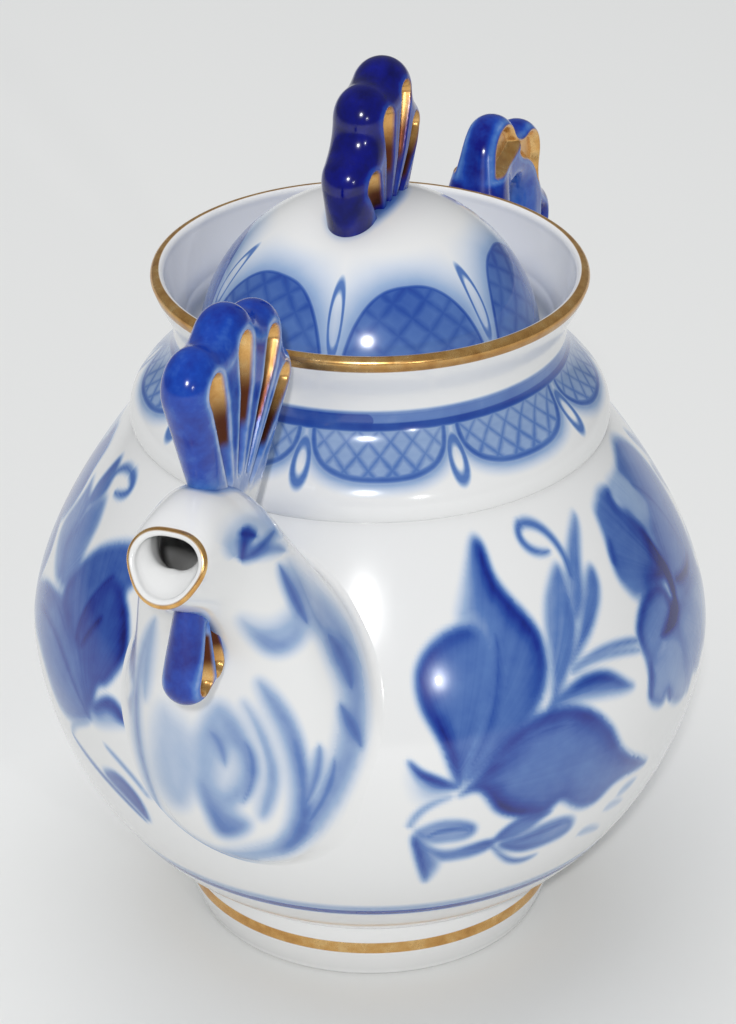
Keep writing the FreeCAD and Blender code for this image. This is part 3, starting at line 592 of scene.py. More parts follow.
def make_lace():
    """Row of latticed scallops with a slim loop between each two, as pigment density.

    Around counts scallops along the row, Reach is the distance in millimetres from the row's base line, and
    Pitch is the millimetres from one scallop to the next. A scallop is where the sum of the shares across
    and up, each to the power 2.6, stays under 1; dividing by the slope of that sum gives a distance.
    """
    tree, given, out = group("scallop_lace", [("Around", 0), ("Reach", 0), ("Pitch", 30), ("Depth", 9), ("Cell", 4),
                                              ("Fill", .4), ("Net", .3), ("Line", 1.7), ("Edge", .7), ("Halo", 1.5),
                                              ("Loop Middle", 5), ("Loop Half", 4), ("Loop Width", 2),
                                              ("Loop Line", .5)], [("Density", VALUE)])
    share = calc(tree, "SUBTRACT", calc(tree, "FRACT", given["Around"]), .5)
    aside = calc(tree, "MULTIPLY", share, given["Pitch"])
    across = calc(tree, "MULTIPLY", calc(tree, "ABSOLUTE", share), 2.1)
    up = calc(tree, "DIVIDE", calc(tree, "MAXIMUM", given["Reach"], 0.0), given["Depth"])
    total = calc(tree, "ADD", calc(tree, "POWER", across, 2.6), calc(tree, "POWER", up, 2.6))
    level = calc(tree, "MAXIMUM", calc(tree, "POWER", total, 1 / 2.6), .02)
    slope_x = calc(tree, "DIVIDE", calc(tree, "MULTIPLY", calc(tree, "POWER", calc(tree, "DIVIDE", across, level), 1.6), 2.1),
                   given["Pitch"])
    slope_y = calc(tree, "DIVIDE", calc(tree, "POWER", calc(tree, "DIVIDE", up, level), 1.6), given["Depth"])
    slope = calc(tree, "SQRT", calc(tree, "ADD", calc(tree, "MULTIPLY", slope_x, slope_x),
                                    calc(tree, "MULTIPLY", slope_y, slope_y)))
    inside = calc(tree, "DIVIDE", calc(tree, "SUBTRACT", 1.0, level), slope)
    body = soft_step(tree, inside, -.5, .9)
    rim = calc(tree, "MULTIPLY", body, calc(tree, "SUBTRACT", 1.0, soft_step(tree, inside, .7, 2.6)))
    fog = calc(tree, "DIVIDE", calc(tree, "ADD", inside, given["Halo"]), given["Halo"], clamp=True)
    fog = calc(tree, "MULTIPLY", calc(tree, "POWER", fog, 1.6), .34)
    lines = []
    for sense in (1.0, -1.0):
        slant = calc(tree, "ADD", calc(tree, "MULTIPLY", aside, sense), given["Reach"])
        wave = calc(tree, "PINGPONG", slant, calc(tree, "MULTIPLY", given["Cell"], .5))
        lines.append(calc(tree, "SUBTRACT", 1.0, calc(tree, "DIVIDE", wave, given["Line"], clamp=True)))
    mesh = calc(tree, "MULTIPLY", calc(tree, "MULTIPLY", calc(tree, "MAXIMUM", lines[0], lines[1]), body), given["Net"])
    fill = calc(tree, "MULTIPLY", body, calc(tree, "MULTIPLY", given["Fill"], calc(tree, "ADD", calc(tree, "MULTIPLY", up, .45), .75)))
    fill = calc(tree, "ADD", fill, mesh)
    fill = calc(tree, "MAXIMUM", fill, calc(tree, "MULTIPLY", rim, given["Edge"]))
    loop_x = calc(tree, "DIVIDE", calc(tree, "MULTIPLY", calc(tree, "SUBTRACT", .5, calc(tree, "ABSOLUTE", share)),
                                       given["Pitch"]), given["Loop Width"])
    loop_y = calc(tree, "DIVIDE", calc(tree, "SUBTRACT", given["Reach"], given["Loop Middle"]), given["Loop Half"])
    oval = calc(tree, "SQRT", calc(tree, "ADD", calc(tree, "MULTIPLY", loop_x, loop_x), calc(tree, "MULTIPLY", loop_y, loop_y)))
    loop = calc(tree, "DIVIDE", calc(tree, "ABSOLUTE", calc(tree, "SUBTRACT", oval, .8)), given["Loop Line"], clamp=True)
    loop = calc(tree, "SUBTRACT", 1.0, soft_step(tree, loop, .15, 1))
    drawn = calc(tree, "MAXIMUM", calc(tree, "MAXIMUM", fill, fog), calc(tree, "MULTIPLY", loop, .52))
    tree.links.new(drawn, out["Density"])
    return tree


WASH, GILDING, SKIN, LACE = make_wash(), make_gilding(), make_skin(), make_lace()


def placed(tree, made, sockets=None):
    """A node group placed in a material."""
    node = put(tree, "ShaderNodeGroup", node_tree=made)
    for key, value in (sockets or {}).items():
        if isinstance(value, bpy.types.NodeSocket):
            tree.links.new(value, node.inputs[key])
        else:
            node.inputs[key].default_value = value
    return node.outputs


def new_material(name):
    made = bpy.data.materials.new(name)
    made.use_nodes = True
    tree = made.node_tree
    tree.nodes.clear()
    return made, tree


def glazed(tree, colour, gilt=None, coat=.4, metal=.8, painted_dark_reflection=None, wave=.00022):
    """Glossy glaze over a colour, with gilt where the mask is 1, and a painted dark reflection that turns the gilt
    browner where its own mask is up.
    """
    height = placed(tree, SKIN)["Height"]
    bump = put(tree, "ShaderNodeBump", {"Height": height, "Strength": .35, "Distance": wave}).outputs[0]
    shader = put(tree, "ShaderNodeBsdfPrincipled", {"IOR": 1.5, "Coat Roughness": .03, "Normal": bump})
    if gilt is None:
        tree.links.new(colour, shader.inputs["Base Color"])
        shader.inputs["Roughness"].default_value = .16
        shader.inputs["Coat Weight"].default_value = coat
    else:
        gold = placed(tree, GILDING)
        # Painted dark reflection: the gilt is mixed towards dark brown where that mask is up
        tone = gold["Color"] if painted_dark_reflection is None else blend(tree, painted_dark_reflection, gold["Color"], linear(84, 40, 16))
        tree.links.new(blend(tree, gilt, colour, tone), shader.inputs["Base Color"])
        tree.links.new(calc(tree, "MULTIPLY", gilt, metal), shader.inputs["Metallic"])
        rough = put(tree, "ShaderNodeMix", {0: gilt, 2: .16, 3: gold["Roughness"]}, data_type="FLOAT").outputs[0]
        tree.links.new(rough, shader.inputs["Roughness"])
        tree.links.new(calc(tree, "MULTIPLY", calc(tree, "SUBTRACT", 1.0, gilt), coat), shader.inputs["Coat Weight"])
    end = put(tree, "ShaderNodeOutputMaterial")
    tree.links.new(shader.outputs[0], end.inputs["Surface"])


def parts_of(tree):
    """Object place in millimetres, split into x, y and z."""
    scaled = put(tree, "ShaderNodeVectorMath", {0: object_place(tree), "Scale": 1 / MM}, operation="SCALE").outputs[0]
    return put(tree, "ShaderNodeSeparateXYZ", {0: scaled}).outputs


def band(tree, value, middle, half, soft):
    """1 within half of the middle, falling to 0 over the soft width."""
    away = calc(tree, "ABSOLUTE", calc(tree, "SUBTRACT", value, middle))
    return calc(tree, "SUBTRACT", 1.0, soft_step(tree, away, half, half + soft))


def belly_material():
    made, tree = new_material("painted_belly")
    x, y, z = parts_of(tree)
    line = calc(tree, "MULTIPLY", band(tree, z, 30.4, .5, .9), .8)
    haze = calc(tree, "MULTIPLY", band(tree, z, 31.4, .8, 2.2), .3)
    density = calc(tree, "MAXIMUM", attribute(tree, "pigment"), calc(tree, "MAXIMUM", line, haze))
    colour = placed(tree, WASH, {"Density": density, "Bristle": attribute(tree, "bristle")})["Color"]
    glazed(tree, colour)
    return made


def neck_material():
    made, tree = new_material("laced_neck")
    x, y, z = parts_of(tree)
    angle = calc(tree, "ARCTAN2", y, x)
    around = calc(tree, "MULTIPLY", calc(tree, "SUBTRACT", angle, math.radians(4.5)), 9 / (2 * math.pi))
    lace = placed(tree, LACE, {"Around": around, "Reach": calc(tree, "SUBTRACT", 138.6, z), "Pitch": 31.0, "Depth": 9.2,
                               "Cell": 4.6, "Fill": .2, "Net": .31, "Line": 2.0, "Edge": .64, "Halo": 2.6,
                               "Loop Middle": 6.2, "Loop Half": 4.2, "Loop Width": 1.8, "Loop Line": .5})["Density"]
    radius = calc(tree, "SQRT", calc(tree, "ADD", calc(tree, "MULTIPLY", x, x), calc(tree, "MULTIPLY", y, y)))
    outer = soft_step(tree, radius, 41.4, 41.8)
    below = calc(tree, "SUBTRACT", 1.0, soft_step(tree, z, 139.0, 139.6))
    lines = calc(tree, "MAXIMUM", calc(tree, "MULTIPLY", band(tree, z, 139.2, .45, 1.1), .74),
                 calc(tree, "MULTIPLY", band(tree, z, 141.9, .2, .9), .46))
    wash = calc(tree, "MULTIPLY", band(tree, z, 140.5, 1.2, 1.0), .52)
    past = calc(tree, "MULTIPLY", calc(tree, "SUBTRACT", angle, math.radians(21.0)), 44.0)
    ended = calc(tree, "MAXIMUM", past, 0.0)
    aside = calc(tree, "SUBTRACT", z, 140.4)
    lap = calc(tree, "SQRT", calc(tree, "ADD", calc(tree, "MULTIPLY", ended, ended), calc(tree, "MULTIPLY", aside, aside)))
    lap = calc(tree, "SUBTRACT", 1.0, soft_step(tree, lap, 1.3, 2.1))
    lap = calc(tree, "MULTIPLY", calc(tree, "MULTIPLY", lap, soft_step(tree, past, -44.0, -30.0)), .72)
    wash = calc(tree, "MAXIMUM", wash, lap)
    density = calc(tree, "MAXIMUM", calc(tree, "MULTIPLY", lace, below), calc(tree, "MAXIMUM", lines, wash))
    density = calc(tree, "MULTIPLY", density, outer)
    colour = placed(tree, WASH, {"Density": density, "Bristle": z})["Color"]
    gilt = calc(tree, "MULTIPLY", soft_step(tree, z, 153.2, 153.5), soft_step(tree, radius, 45.0, 45.3))
    # Painted dark reflection: the gilt of the lip turns browner towards its lower edge
    painted_dark_reflection = calc(tree, "MULTIPLY", calc(tree, "SUBTRACT", 1.0, soft_step(tree, z, 154.0, 156.2)), .42)
    glazed(tree, colour, gilt, painted_dark_reflection=painted_dark_reflection)
    return made


def lid_material():
    made, tree = new_material("laced_lid")
    x, y, z = parts_of(tree)
    angle = calc(tree, "ARCTAN2", y, x)
    around = calc(tree, "MULTIPLY", calc(tree, "SUBTRACT", angle, math.radians(8.5)), 6 / (2 * math.pi))
    rise = calc(tree, "DIVIDE", calc(tree, "SUBTRACT", z, FLANGE_TOP_Z), DOME_TOP_Z - FLANGE_TOP_Z, clamp=True)
    theta = calc(tree, "ARCSINE", rise)
    reach = calc(tree, "MULTIPLY", theta, 35.7)
    pitch = calc(tree, "MULTIPLY", calc(tree, "COSINE", theta), 38.6)
    lace = placed(tree, LACE, {"Around": around, "Reach": reach, "Pitch": pitch, "Depth": 28.4, "Cell": 7.0,
                               "Fill": .54, "Net": .11, "Line": 1.7, "Edge": .74, "Halo": 8.5, "Loop Middle": 21.0,
                               "Loop Half": 9.4, "Loop Width": 1.7, "Loop Line": .32})["Density"]
    top = soft_step(tree, z, 138.2, 138.7)
    long = calc(tree, "DIVIDE", calc(tree, "SUBTRACT", x, 1.5), 14.0)
    short = calc(tree, "DIVIDE", y, 7.0)
    ring = calc(tree, "SQRT", calc(tree, "ADD", calc(tree, "MULTIPLY", long, long), calc(tree, "MULTIPLY", short, short)))
    halo = calc(tree, "MULTIPLY", calc(tree, "SUBTRACT", 1.0, soft_step(tree, ring, .7, 1.2)), .62)
    halo = calc(tree, "MULTIPLY", halo, soft_step(tree, z, 164.0, 166.0))
    density = calc(tree, "MAXIMUM", calc(tree, "MULTIPLY", lace, top), halo)
    colour = placed(tree, WASH, {"Density": density, "Bristle": 0.0})["Color"]
    glazed(tree, colour)
    return made


def foot_material():
    made, tree = new_material("gilt_banded_foot")
    x, y, z = parts_of(tree)
    colour = placed(tree, WASH, {"Density": 0.0, "Bristle": z})["Color"]
    radius = calc(tree, "SQRT", calc(tree, "ADD", calc(tree, "MULTIPLY", x, x), calc(tree, "MULTIPLY", y, y)))
    gilt = calc(tree, "MULTIPLY", band(tree, z, 8.9, 1.3, .2), soft_step(tree, radius, 39.0, 39.4))
    glazed(tree, colour, gilt)
    return made


def spout_material():
    made, tree = new_material("painted_spout")
    colour = placed(tree, WASH, {"Density": attribute(tree, "pigment"), "Bristle": attribute(tree, "bristle")})["Color"]
    glazed(tree, colour, attribute(tree, "gilt"))
    return made


COBALT_STOPS = [(0, (1, 3, 80)), (.16, (3, 11, 120)), (.36, (18, 65, 167)), (.58, (71, 117, 192)), (.8, (156, 176, 214)),
                (1.0, GLAZE_WHITE)]


def cobalt_material():
    """Thick cobalt glaze that breaks to pale blue where it runs thin, with gilt hollows that carry a painted dark
    reflection towards their roots.
    """
    made, tree = new_material("cobalt_glaze")
    place = object_place(tree)
    streak = calc(tree, "SUBTRACT", grain(tree, place, 210, 3, .6), .5)
    thin = calc(tree, "ADD", attribute(tree, "thin"), calc(tree, "MULTIPLY", streak, .6))
    colour = ramp(tree, calc(tree, "MULTIPLY", thin, .8), COBALT_STOPS)
    glazed(tree, colour, attribute(tree, "gilt"), .1, .78, attribute(tree, "painted_dark_reflection"))
    return made


PAINTED_BELLY, LACED_NECK, LACED_LID = belly_material(), neck_material(), lid_material()
BANDED_FOOT, PAINTED_SPOUT, COBALT = foot_material(), spout_material(), cobalt_material()


# Pot

def flank_angles():
    """Angles round the pot, close together where the flanks are painted."""
    spout, handle = np.arange(-19, 25.5, 1.6), np.arange(159.5, 222, 1.6)
    near, far = np.arange(26, 159, .52), np.arange(222.5, 340.5, .52)
    return np.radians(np.concatenate([spout, near, handle, far]))


def drilled(made, starts, way, radius):
    """Round holes cut through a piece along one direction, each from its start."""
    sides = np.linspace(0, 2 * np.pi, 25)[:-1]
    across = np.cross(way, [0, 1, 0] if abs(way[1]) < .5 else [1, 0, 0])
    ring = np.outer(np.cos(sides), across) + np.outer(np.sin(sides), np.cross(way, across))
    rims = [np.asarray(start) + radius * ring + reach * np.asarray(way) for start in starts for reach in (0, 60)]
    count = len(sides)
    faces = []
    for hole in range(len(starts)):
        low, high = 2 * hole * count + np.arange(count), (2 * hole + 1) * count + np.arange(count)
        faces += np.stack([low, np.roll(low, -1), np.roll(high, -1), high], 1).tolist()
        faces += [low[::-1].tolist(), high.tolist()]
    mesh = bpy.data.meshes.new("drill")
    mesh.from_pydata(np.vstack(rims) * MM, [], faces)
    drill = bpy.data.objects.new("drill", mesh)
    bpy.context.scene.collection.objects.link(drill)
    cut = made.modifiers.new("holes", "BOOLEAN")
    cut.operation, cut.object, cut.solver = "DIFFERENCE", drill, "EXACT"
    whole = made.data
    made.data = bpy.data.meshes.new_from_object(made.evaluated_get(bpy.context.evaluated_depsgraph_get()))
    made.modifiers.remove(cut)
    bpy.data.objects.remove(drill)
    bpy.data.meshes.remove(mesh)
    bpy.data.meshes.remove(whole)
    made.data.name = made.name


def make_belly():
    """Wall of the belly: outer curve up from the foot to the shoulder, and back down inside."""
    outer = np.vstack([curve(LOWER, 300), curve(UPPER, 300)[1:]])
    cut = np.searchsorted(outer[:, 1], 41.0)
    low, high = spaced(outer[:cut + 1], 2.0), spaced(outer[cut:], .72)
    inner = spaced(offset_in(outer, WALL)[::-1], 3.4)
    grid = turned(np.vstack([low[:-1], high, inner]), flank_angles())
    flank = np.abs(np.arctan2(grid[..., 1], grid[..., 0]))
    places = np.stack([(flank - np.pi / 2) * BELLY[0], grid[..., 2]], -1)
    outside = np.zeros(grid.shape[:2], bool)
    outside[:len(low) + len(high) - 1] = True
    pigment, bristle = np.zeros(grid.shape[:2]), np.zeros(grid.shape[:2])
    near = outside & (grid[..., 1] > 0)
    far = outside & ~near
    for side, middle, leaves, strokes in ((near, 4, LEAVES, LEAF_STROKES), (far, -12, FAR_LEAVES, FAR_STROKES)):
        flat = places[side]
        coats = [paint(flat * (-1, 1) + (2 * middle, 0), LEAVES, LEAF_STROKES),
                 paint(flat - (middle - 4, 0), ROSE, ROSE_STROKES), paint(flat, leaves, strokes)]
        pigment[side] = np.maximum.reduce([coat[0] for coat in coats])
        bristle[side] = sum(coat[1] for coat in coats)
    made = piece("belly", grid, "pot", "body", PAINTED_BELLY, {"pigment": pigment, "bristle": bristle})
    turn = np.radians(60) * np.arange(6)
    holes = [(40, 0, 88.0)] + [(40, 9.5 * math.cos(t), 88.0 + 9.5 * math.sin(t)) for t in turn]
    drilled(made, holes, (1, 0, 0), 3.0)
    return made


def make_neck():
    """Collar, neck and rolled lip, with the ledge for the lid inside."""
    flare_in = curve([(BORE_R, NECK[1]), (BORE_R, NECK[1] + 5.5), between(LIP, NECK, .55, .55),
                      (LIP[0] - LIP_THICK, LIP[1])], 30)
    flare_in[:, 0] = np.minimum(flare_in[:, 0], np.interp(flare_in[:, 1], OUTSIDE[:, 1], OUTSIDE[:, 0]) - LIP_THICK)
    lip = round_arc((LIP[0] - LIP_THICK / 2, LIP[1]), LIP_THICK / 2, 0, math.pi, False, 13)
    collar_in = ((SHOULDER[0] + NECK[0] - WALL) / 2, LEDGE_Z - 7.4)
    wall_in = offset_in(curve(UPPER, 300), WALL)[-1]
    ledge = np.array([(BORE_R, LEDGE_Z + .6), (BORE_R - .6, LEDGE_Z), (LEDGE_R + .6, LEDGE_Z), (LEDGE_R, LEDGE_Z - .6),
                      (LEDGE_R, LEDGE_Z - 3.8), collar_in, tuple(wall_in)])
    profile = np.vstack([curve(ROLL, 7), spaced(curve(RISE, 90), .8)[1:], spaced(curve(FLARE, 60), .8)[1:], lip[1:],
                         flare_in[::-1][1:], ledge])
    angles = np.linspace(0, 2 * np.pi, 360, endpoint=False)
    return piece("neck", turned(profile, angles), "pot", "body", LACED_NECK)


def make_foot():
    """Foot ring and floor of the pot."""
    edge = round_arc((FOOT_EDGE[0], FOOT_SIDE[1]), FOOT_SIDE[1], -math.pi / 2, 0, False, 6)
    side = curve([FOOT_SIDE, (FOOT_BAND[0] + .5, FOOT_BAND[1] - 2), (FOOT_BAND[0] + .2, FOOT_BAND[1] + 2), FOOT_TOP], 20)
    wall_in = offset_in(curve(LOWER, 300), WALL)[0]
    floor = FOOT_RECESS + WALL
    under = np.array([(0, FOOT_RECESS), (RING_IN - FOOT_RECESS / 2, FOOT_RECESS), (RING_IN, 0)])
    profile = np.vstack([under, edge, side[1:], [tuple(wall_in), (RING_IN, floor), (0, floor)]])
    angles = np.linspace(0, 2 * np.pi, 240, endpoint=False)
    return piece("foot", turned(profile, angles), "pot", "body", BANDED_FOOT, close_rows=False)


def make_lid():
    """Dome, flange and skirt of the lid, turned about the axis."""
    quarter = np.linspace(0, np.pi / 2, 64)
    dome = np.stack([DOME_R * np.cos(quarter), FLANGE_TOP_Z + (DOME_TOP_Z - FLANGE_TOP_Z) * np.sin(quarter)], 1)[::-1]
    hollow_top = DOME_TOP_Z - LID_WALL
    hollow = np.stack([SKIRT_IN_R * np.cos(quarter), LID_SEAT_Z + (hollow_top - LID_SEAT_Z) * np.sin(quarter)], 1)[::2]
    hollow = np.vstack([hollow, [(0, hollow_top)]])
    rim = np.array([(LID_EDGE_R - .4, FLANGE_TOP_Z), (LID_EDGE_R, FLANGE_TOP_Z - .4), (LID_EDGE_R, LID_SEAT_Z + .3),
                    (LID_EDGE_R - .3, LID_SEAT_Z), (SKIRT_R, LID_SEAT_Z), (SKIRT_R, SKIRT_Z + .8),
                    (SKIRT_R - .8, SKIRT_Z), (SKIRT_IN_R + .8, SKIRT_Z), (SKIRT_IN_R, SKIRT_Z + .8)])
    dome[0, 0] = 0
    angles = np.linspace(0, 2 * np.pi, 288, endpoint=False)
    made = piece("lid_dome", turned(np.vstack([dome, rim, hollow]), angles), "lid", "lid", LACED_LID,
                 close_rows=False)
    drilled(made, [(-19.0, 0, 140.0)], (0, 0, 1), 1.6)
    return made


# Spout

def spout_place(station, turn, wall):
    """Place on the spout's ovals: middle plus the half height times cos and the half width times sin of the turn.

    The ovals are splines through the stations, drawn in by the wall, a little fuller below the middle, and
    soft triangles at the mouth.
    """
    low = [spline([s[k] for s in STATIONS_LOW], station) for k in (0, 1)]
    high = [spline([s[k] for s in STATIONS_HIGH], station) for k in (0, 1)]
    half = spline(STATIONS_HALF, station)
    tall = np.hypot(high[0] - low[0], high[1] - low[1]) / 2
    shrink = (tall - wall) / tall
    corner = 1 - MOUTH_CORNERS * np.cos(3 * turn) * smooth(6.0, 8.0, station)
    x, z = [(low[k] + high[k]) / 2 + (high[k] - low[k]) / 2 * shrink * corner * np.cos(turn) for k in (0, 1)]
    y = (half - wall) * corner * np.sin(turn) * (1 - EGG * np.cos(turn))
    return np.stack([x, y, z], -1)


def above_pot(places):
    """How far places stand outside the pot's surface, measured along the radius."""
    return np.hypot(places[..., 0], places[..., 1]) - pot_r(places[..., 2])


def crossing(turn, wall, level):
    """Station at which the spout's surface last comes out of the pot's surface raised by the level."""
    station = np.linspace(0, 4, 801)[:, None]
    out = above_pot(spout_place(np.broadcast_to(station, (801, len(turn))), turn[None], wall)) - level
    last = 800 - np.argmax((out < 0)[::-1], axis=0)
    last = np.clip(last, 0, 799)
    a, b = np.take_along_axis(out, last[None], 0)[0], np.take_along_axis(out, last[None] + 1, 0)[0]
    return (last + np.clip(a / (a - b), 0, 1)) / 200


# Breast painting: marks are (right, up) on the leaning plane of breast_flat
# Border band, neck, left wash, swirl and its pale middle, lower, inner and long strokes
BREAST = [
    ([(-16.1, 75.3, 0.3), (-10.9, 70.6, 0.35), (-5.9, 64.7, 0.4), (-2.5, 56.6, 0.5), (-1.1, 47.3, 0.5),
      (-1.3, 39.1, 0.45), (-3.7, 30.7, 0.4), (-7.8, 22.8, 0.4), (-14.3, 15.5, 0.45), (-23.7, 12, 0.4),
      (-31.2, 13.2, 0.25), (-24.4, 15, 0.3), (-16, 19.5, 0.4), (-9.7, 29.7, 0.4), (-6.9, 38.1, 0.35),
      (-6.1, 47.5, 0.35), (-7.6, 53.4, 0.4), (-9.8, 59.2, 0.45), (-12.6, 62.8, 0.4),
      (-15.3, 68.5, 0.4)], 0.36, 2.5, 1.9),
    ([(-25.6, 63.9, 0.3), (-23.2, 59.5, 0.5), (-18.8, 56.9, 0.55), (-14.3, 58.8, 0.45), (-12.4, 63.3, 0.35),
      (-14.2, 67.1, 0.25), (-16.8, 64.9, 0.25), (-21.4, 63.4, 0.2)], 0.32, 2.5, 1.9),
    ([(-43.8, 44.8, 0.2), (-45.6, 35.9, 0.25), (-44.3, 27.2, 0.3), (-39.5, 23.2, 0.3), (-36.5, 29.7, 0.3),
      (-37.1, 38.9, 0.25), (-40.2, 44.2, 0.15)], 0.22, 3, 2.4),
    ([(-31.2, 46.1, 0.35), (-34.9, 41.3, 0.35), (-36.9, 34, 0.3), (-35.4, 26, 0.35), (-31.3, 22.4, 0.35),
      (-26.8, 25.1, 0.4), (-23.6, 30.7, 0.5), (-24.4, 36.8, 0.5), (-27.2, 42.8, 0.45)], 0.3, 2.5, 2),
    ([(-29.7, 36.1, 0.02), (-31.6, 32.3, 0.02), (-30.8, 28.1, 0.02), (-27.9, 29.4, 0.02),
      (-27.1, 33.7, 0.02)], 0.02, 2, 2.2),
    ([(-35.5, 29.3, 0.4), (-34.1, 22.2, 0.55), (-31.2, 17.3, 0.6), (-26.6, 17.9, 0.5), (-25.3, 20.8, 0.4),
      (-29.7, 23.8, 0.35), (-32.9, 28, 0.35)], 0.45, 2, 1.6),
    ([(-25.8, 46.2, 0.3), (-22.9, 42.9, 0.4), (-20, 35.7, 0.52), (-19.2, 28.4, 0.52), (-21.9, 21.9, 0.45),
      (-23.3, 24.6, 0.25), (-22.4, 30.8, 0.2), (-23.4, 38.1, 0.2)], 0.3, 2, 1.7),
    ([(-22.7, 51, 0.35), (-18.4, 47.5, 0.45), (-14.5, 39.9, 0.6), (-12.7, 29.7, 0.72), (-12.8, 21, 0.72),
      (-15.9, 15.6, 0.6), (-19, 14.8, 0.45), (-17.3, 20.7, 0.35), (-16.7, 28.4, 0.3), (-18.4, 36.9, 0.25),
      (-21.2, 44.3, 0.25)], 0.4, 2.2, 1.6),
]
# Outline and dark touches
BREAST_STROKES = [
    ([(-43.3, 63.7), (-49.2, 52.6), (-51.6, 38.9), (-44.2, 20.7)], 1, 1.2, 0.5, 0.5, (0.3, 0.5, 0.4), 1.4),
    ([(-43.7, 62.5), (-46, 57.7), (-46.8, 51.7), (-46.6, 46.3)], 1.6, 1.2, 0.6, 0.6, (0.3, 0.35, 0.3), 1.8),
    ([(-44.2, 20.7), (-39.6, 14.8), (-32.4, 11.9), (-23.7, 11.7)], 0.9, 0.9, 0.4, 0.4, (0.35, 0.4, 0.35), 1.5),
    ([(-18, 74.7), (-16.1, 70.2), (-14.2, 65.7), (-12.6, 62.8)], 1.4, 1.2, 0.6, 0.6, (0.5, 0.62, 0.45), 1.4),
    ([(-8.4, 60.3), (-6.1, 57.3), (-4.5, 53.2), (-3.8, 49.2)], 1.6, 1.6, 0.6, 0.6, (0.5, 0.62, 0.5), 1.5),
    ([(-6.1, 46.1), (-4.8, 43.3), (-2.9, 40.3), (-1.8, 36.7)], 1.3, 1.5, 0.6, 0.6, (0.5, 0.6, 0.45), 1.4),
    ([(-10.3, 37.4), (-10.1, 33.3), (-11.1, 29.1), (-13.4, 24.8)], 1.2, 1.4, 0.5, 0.6, (0.35, 0.5, 0.45), 1.5),
    ([(-7.3, 34.5), (-7.4, 30.2), (-9.5, 25.4), (-12.8, 20.8)], 0.9, 0.9, 0.5, 0.5, (0.45, 0.55, 0.45), 1.3),
    ([(-33, 40.2), (-31.4, 38.8), (-30.3, 36.1), (-29.9, 33)], 1.2, 1.2, 0.6, 0.6, (0.4, 0.48, 0.4), 1.5),
    ([(-25.6, 38), (-23.5, 34.4), (-23.6, 29.5), (-26.3, 25.1)], 1, 1, 0.5, 0.6, (0.4, 0.52, 0.45), 1.4),
]
# Eye, alike on both sides: pale ground, ring, inner turn and tail
EYE_STROKES = [
    ([(-27.5, 78), (-25.4, 83), (-21, 84), (-17.4, 80)], 3.2, 3.2, .3, .3, (.1, .24, .1), 2.4),
    ([(-25.4, 79.6), (-27, 79.2), (-27.6, 77.8), (-26.4, 76.4)], 1.2, 1.2, .3, .3, (.26, .3, .26), 1.4),
    ([(-23.5, 77), (-21, 77.6), (-19, 78.6), (-16.8, 77.4)], 1.7, 1.7, .3, .4, (.34, .44, .28), 1.5),
    ([(-25.2, 76.2), (-23, 76.2), (-21, 78.5), (-19, 81.4)], 1, 1, .2, .4, (.6, .72, .6), 1.3),
    ([(-23.9, 82), (-24.4, 80.2), (-24.7, 78.3), (-25.1, 75.9)], 1.1, 1.1, .3, .3, (.76, .9, .76), 1.3),
    ([(-25.2, 80.9), (-24.3, 80.9), (-23.4, 80.8), (-22.4, 80.4)], 1.2, 1.2, .3, .4, (.76, .92, .76), 1.3),
]


def breast_flat(places, turn=math.radians(22), lean=math.radians(28.11)):
    """Places laid on a plane that faces 22 degrees off the spout and leans back by 28: (right, up) on it."""
    x, y, z = places[..., 0], places[..., 1], places[..., 2]
    toward = x * math.cos(turn) + y * math.sin(turn)
    return np.stack([y * math.cos(turn) - x * math.sin(turn), z * math.cos(lean) - toward * math.sin(lean)], -1)


def along_line(places, start, end):
    """Distance in plan from places to a straight line on the central plane between two values of x."""
    x = np.clip(places[..., 0], start, end)
    return np.hypot(places[..., 0] - x, places[..., 1])


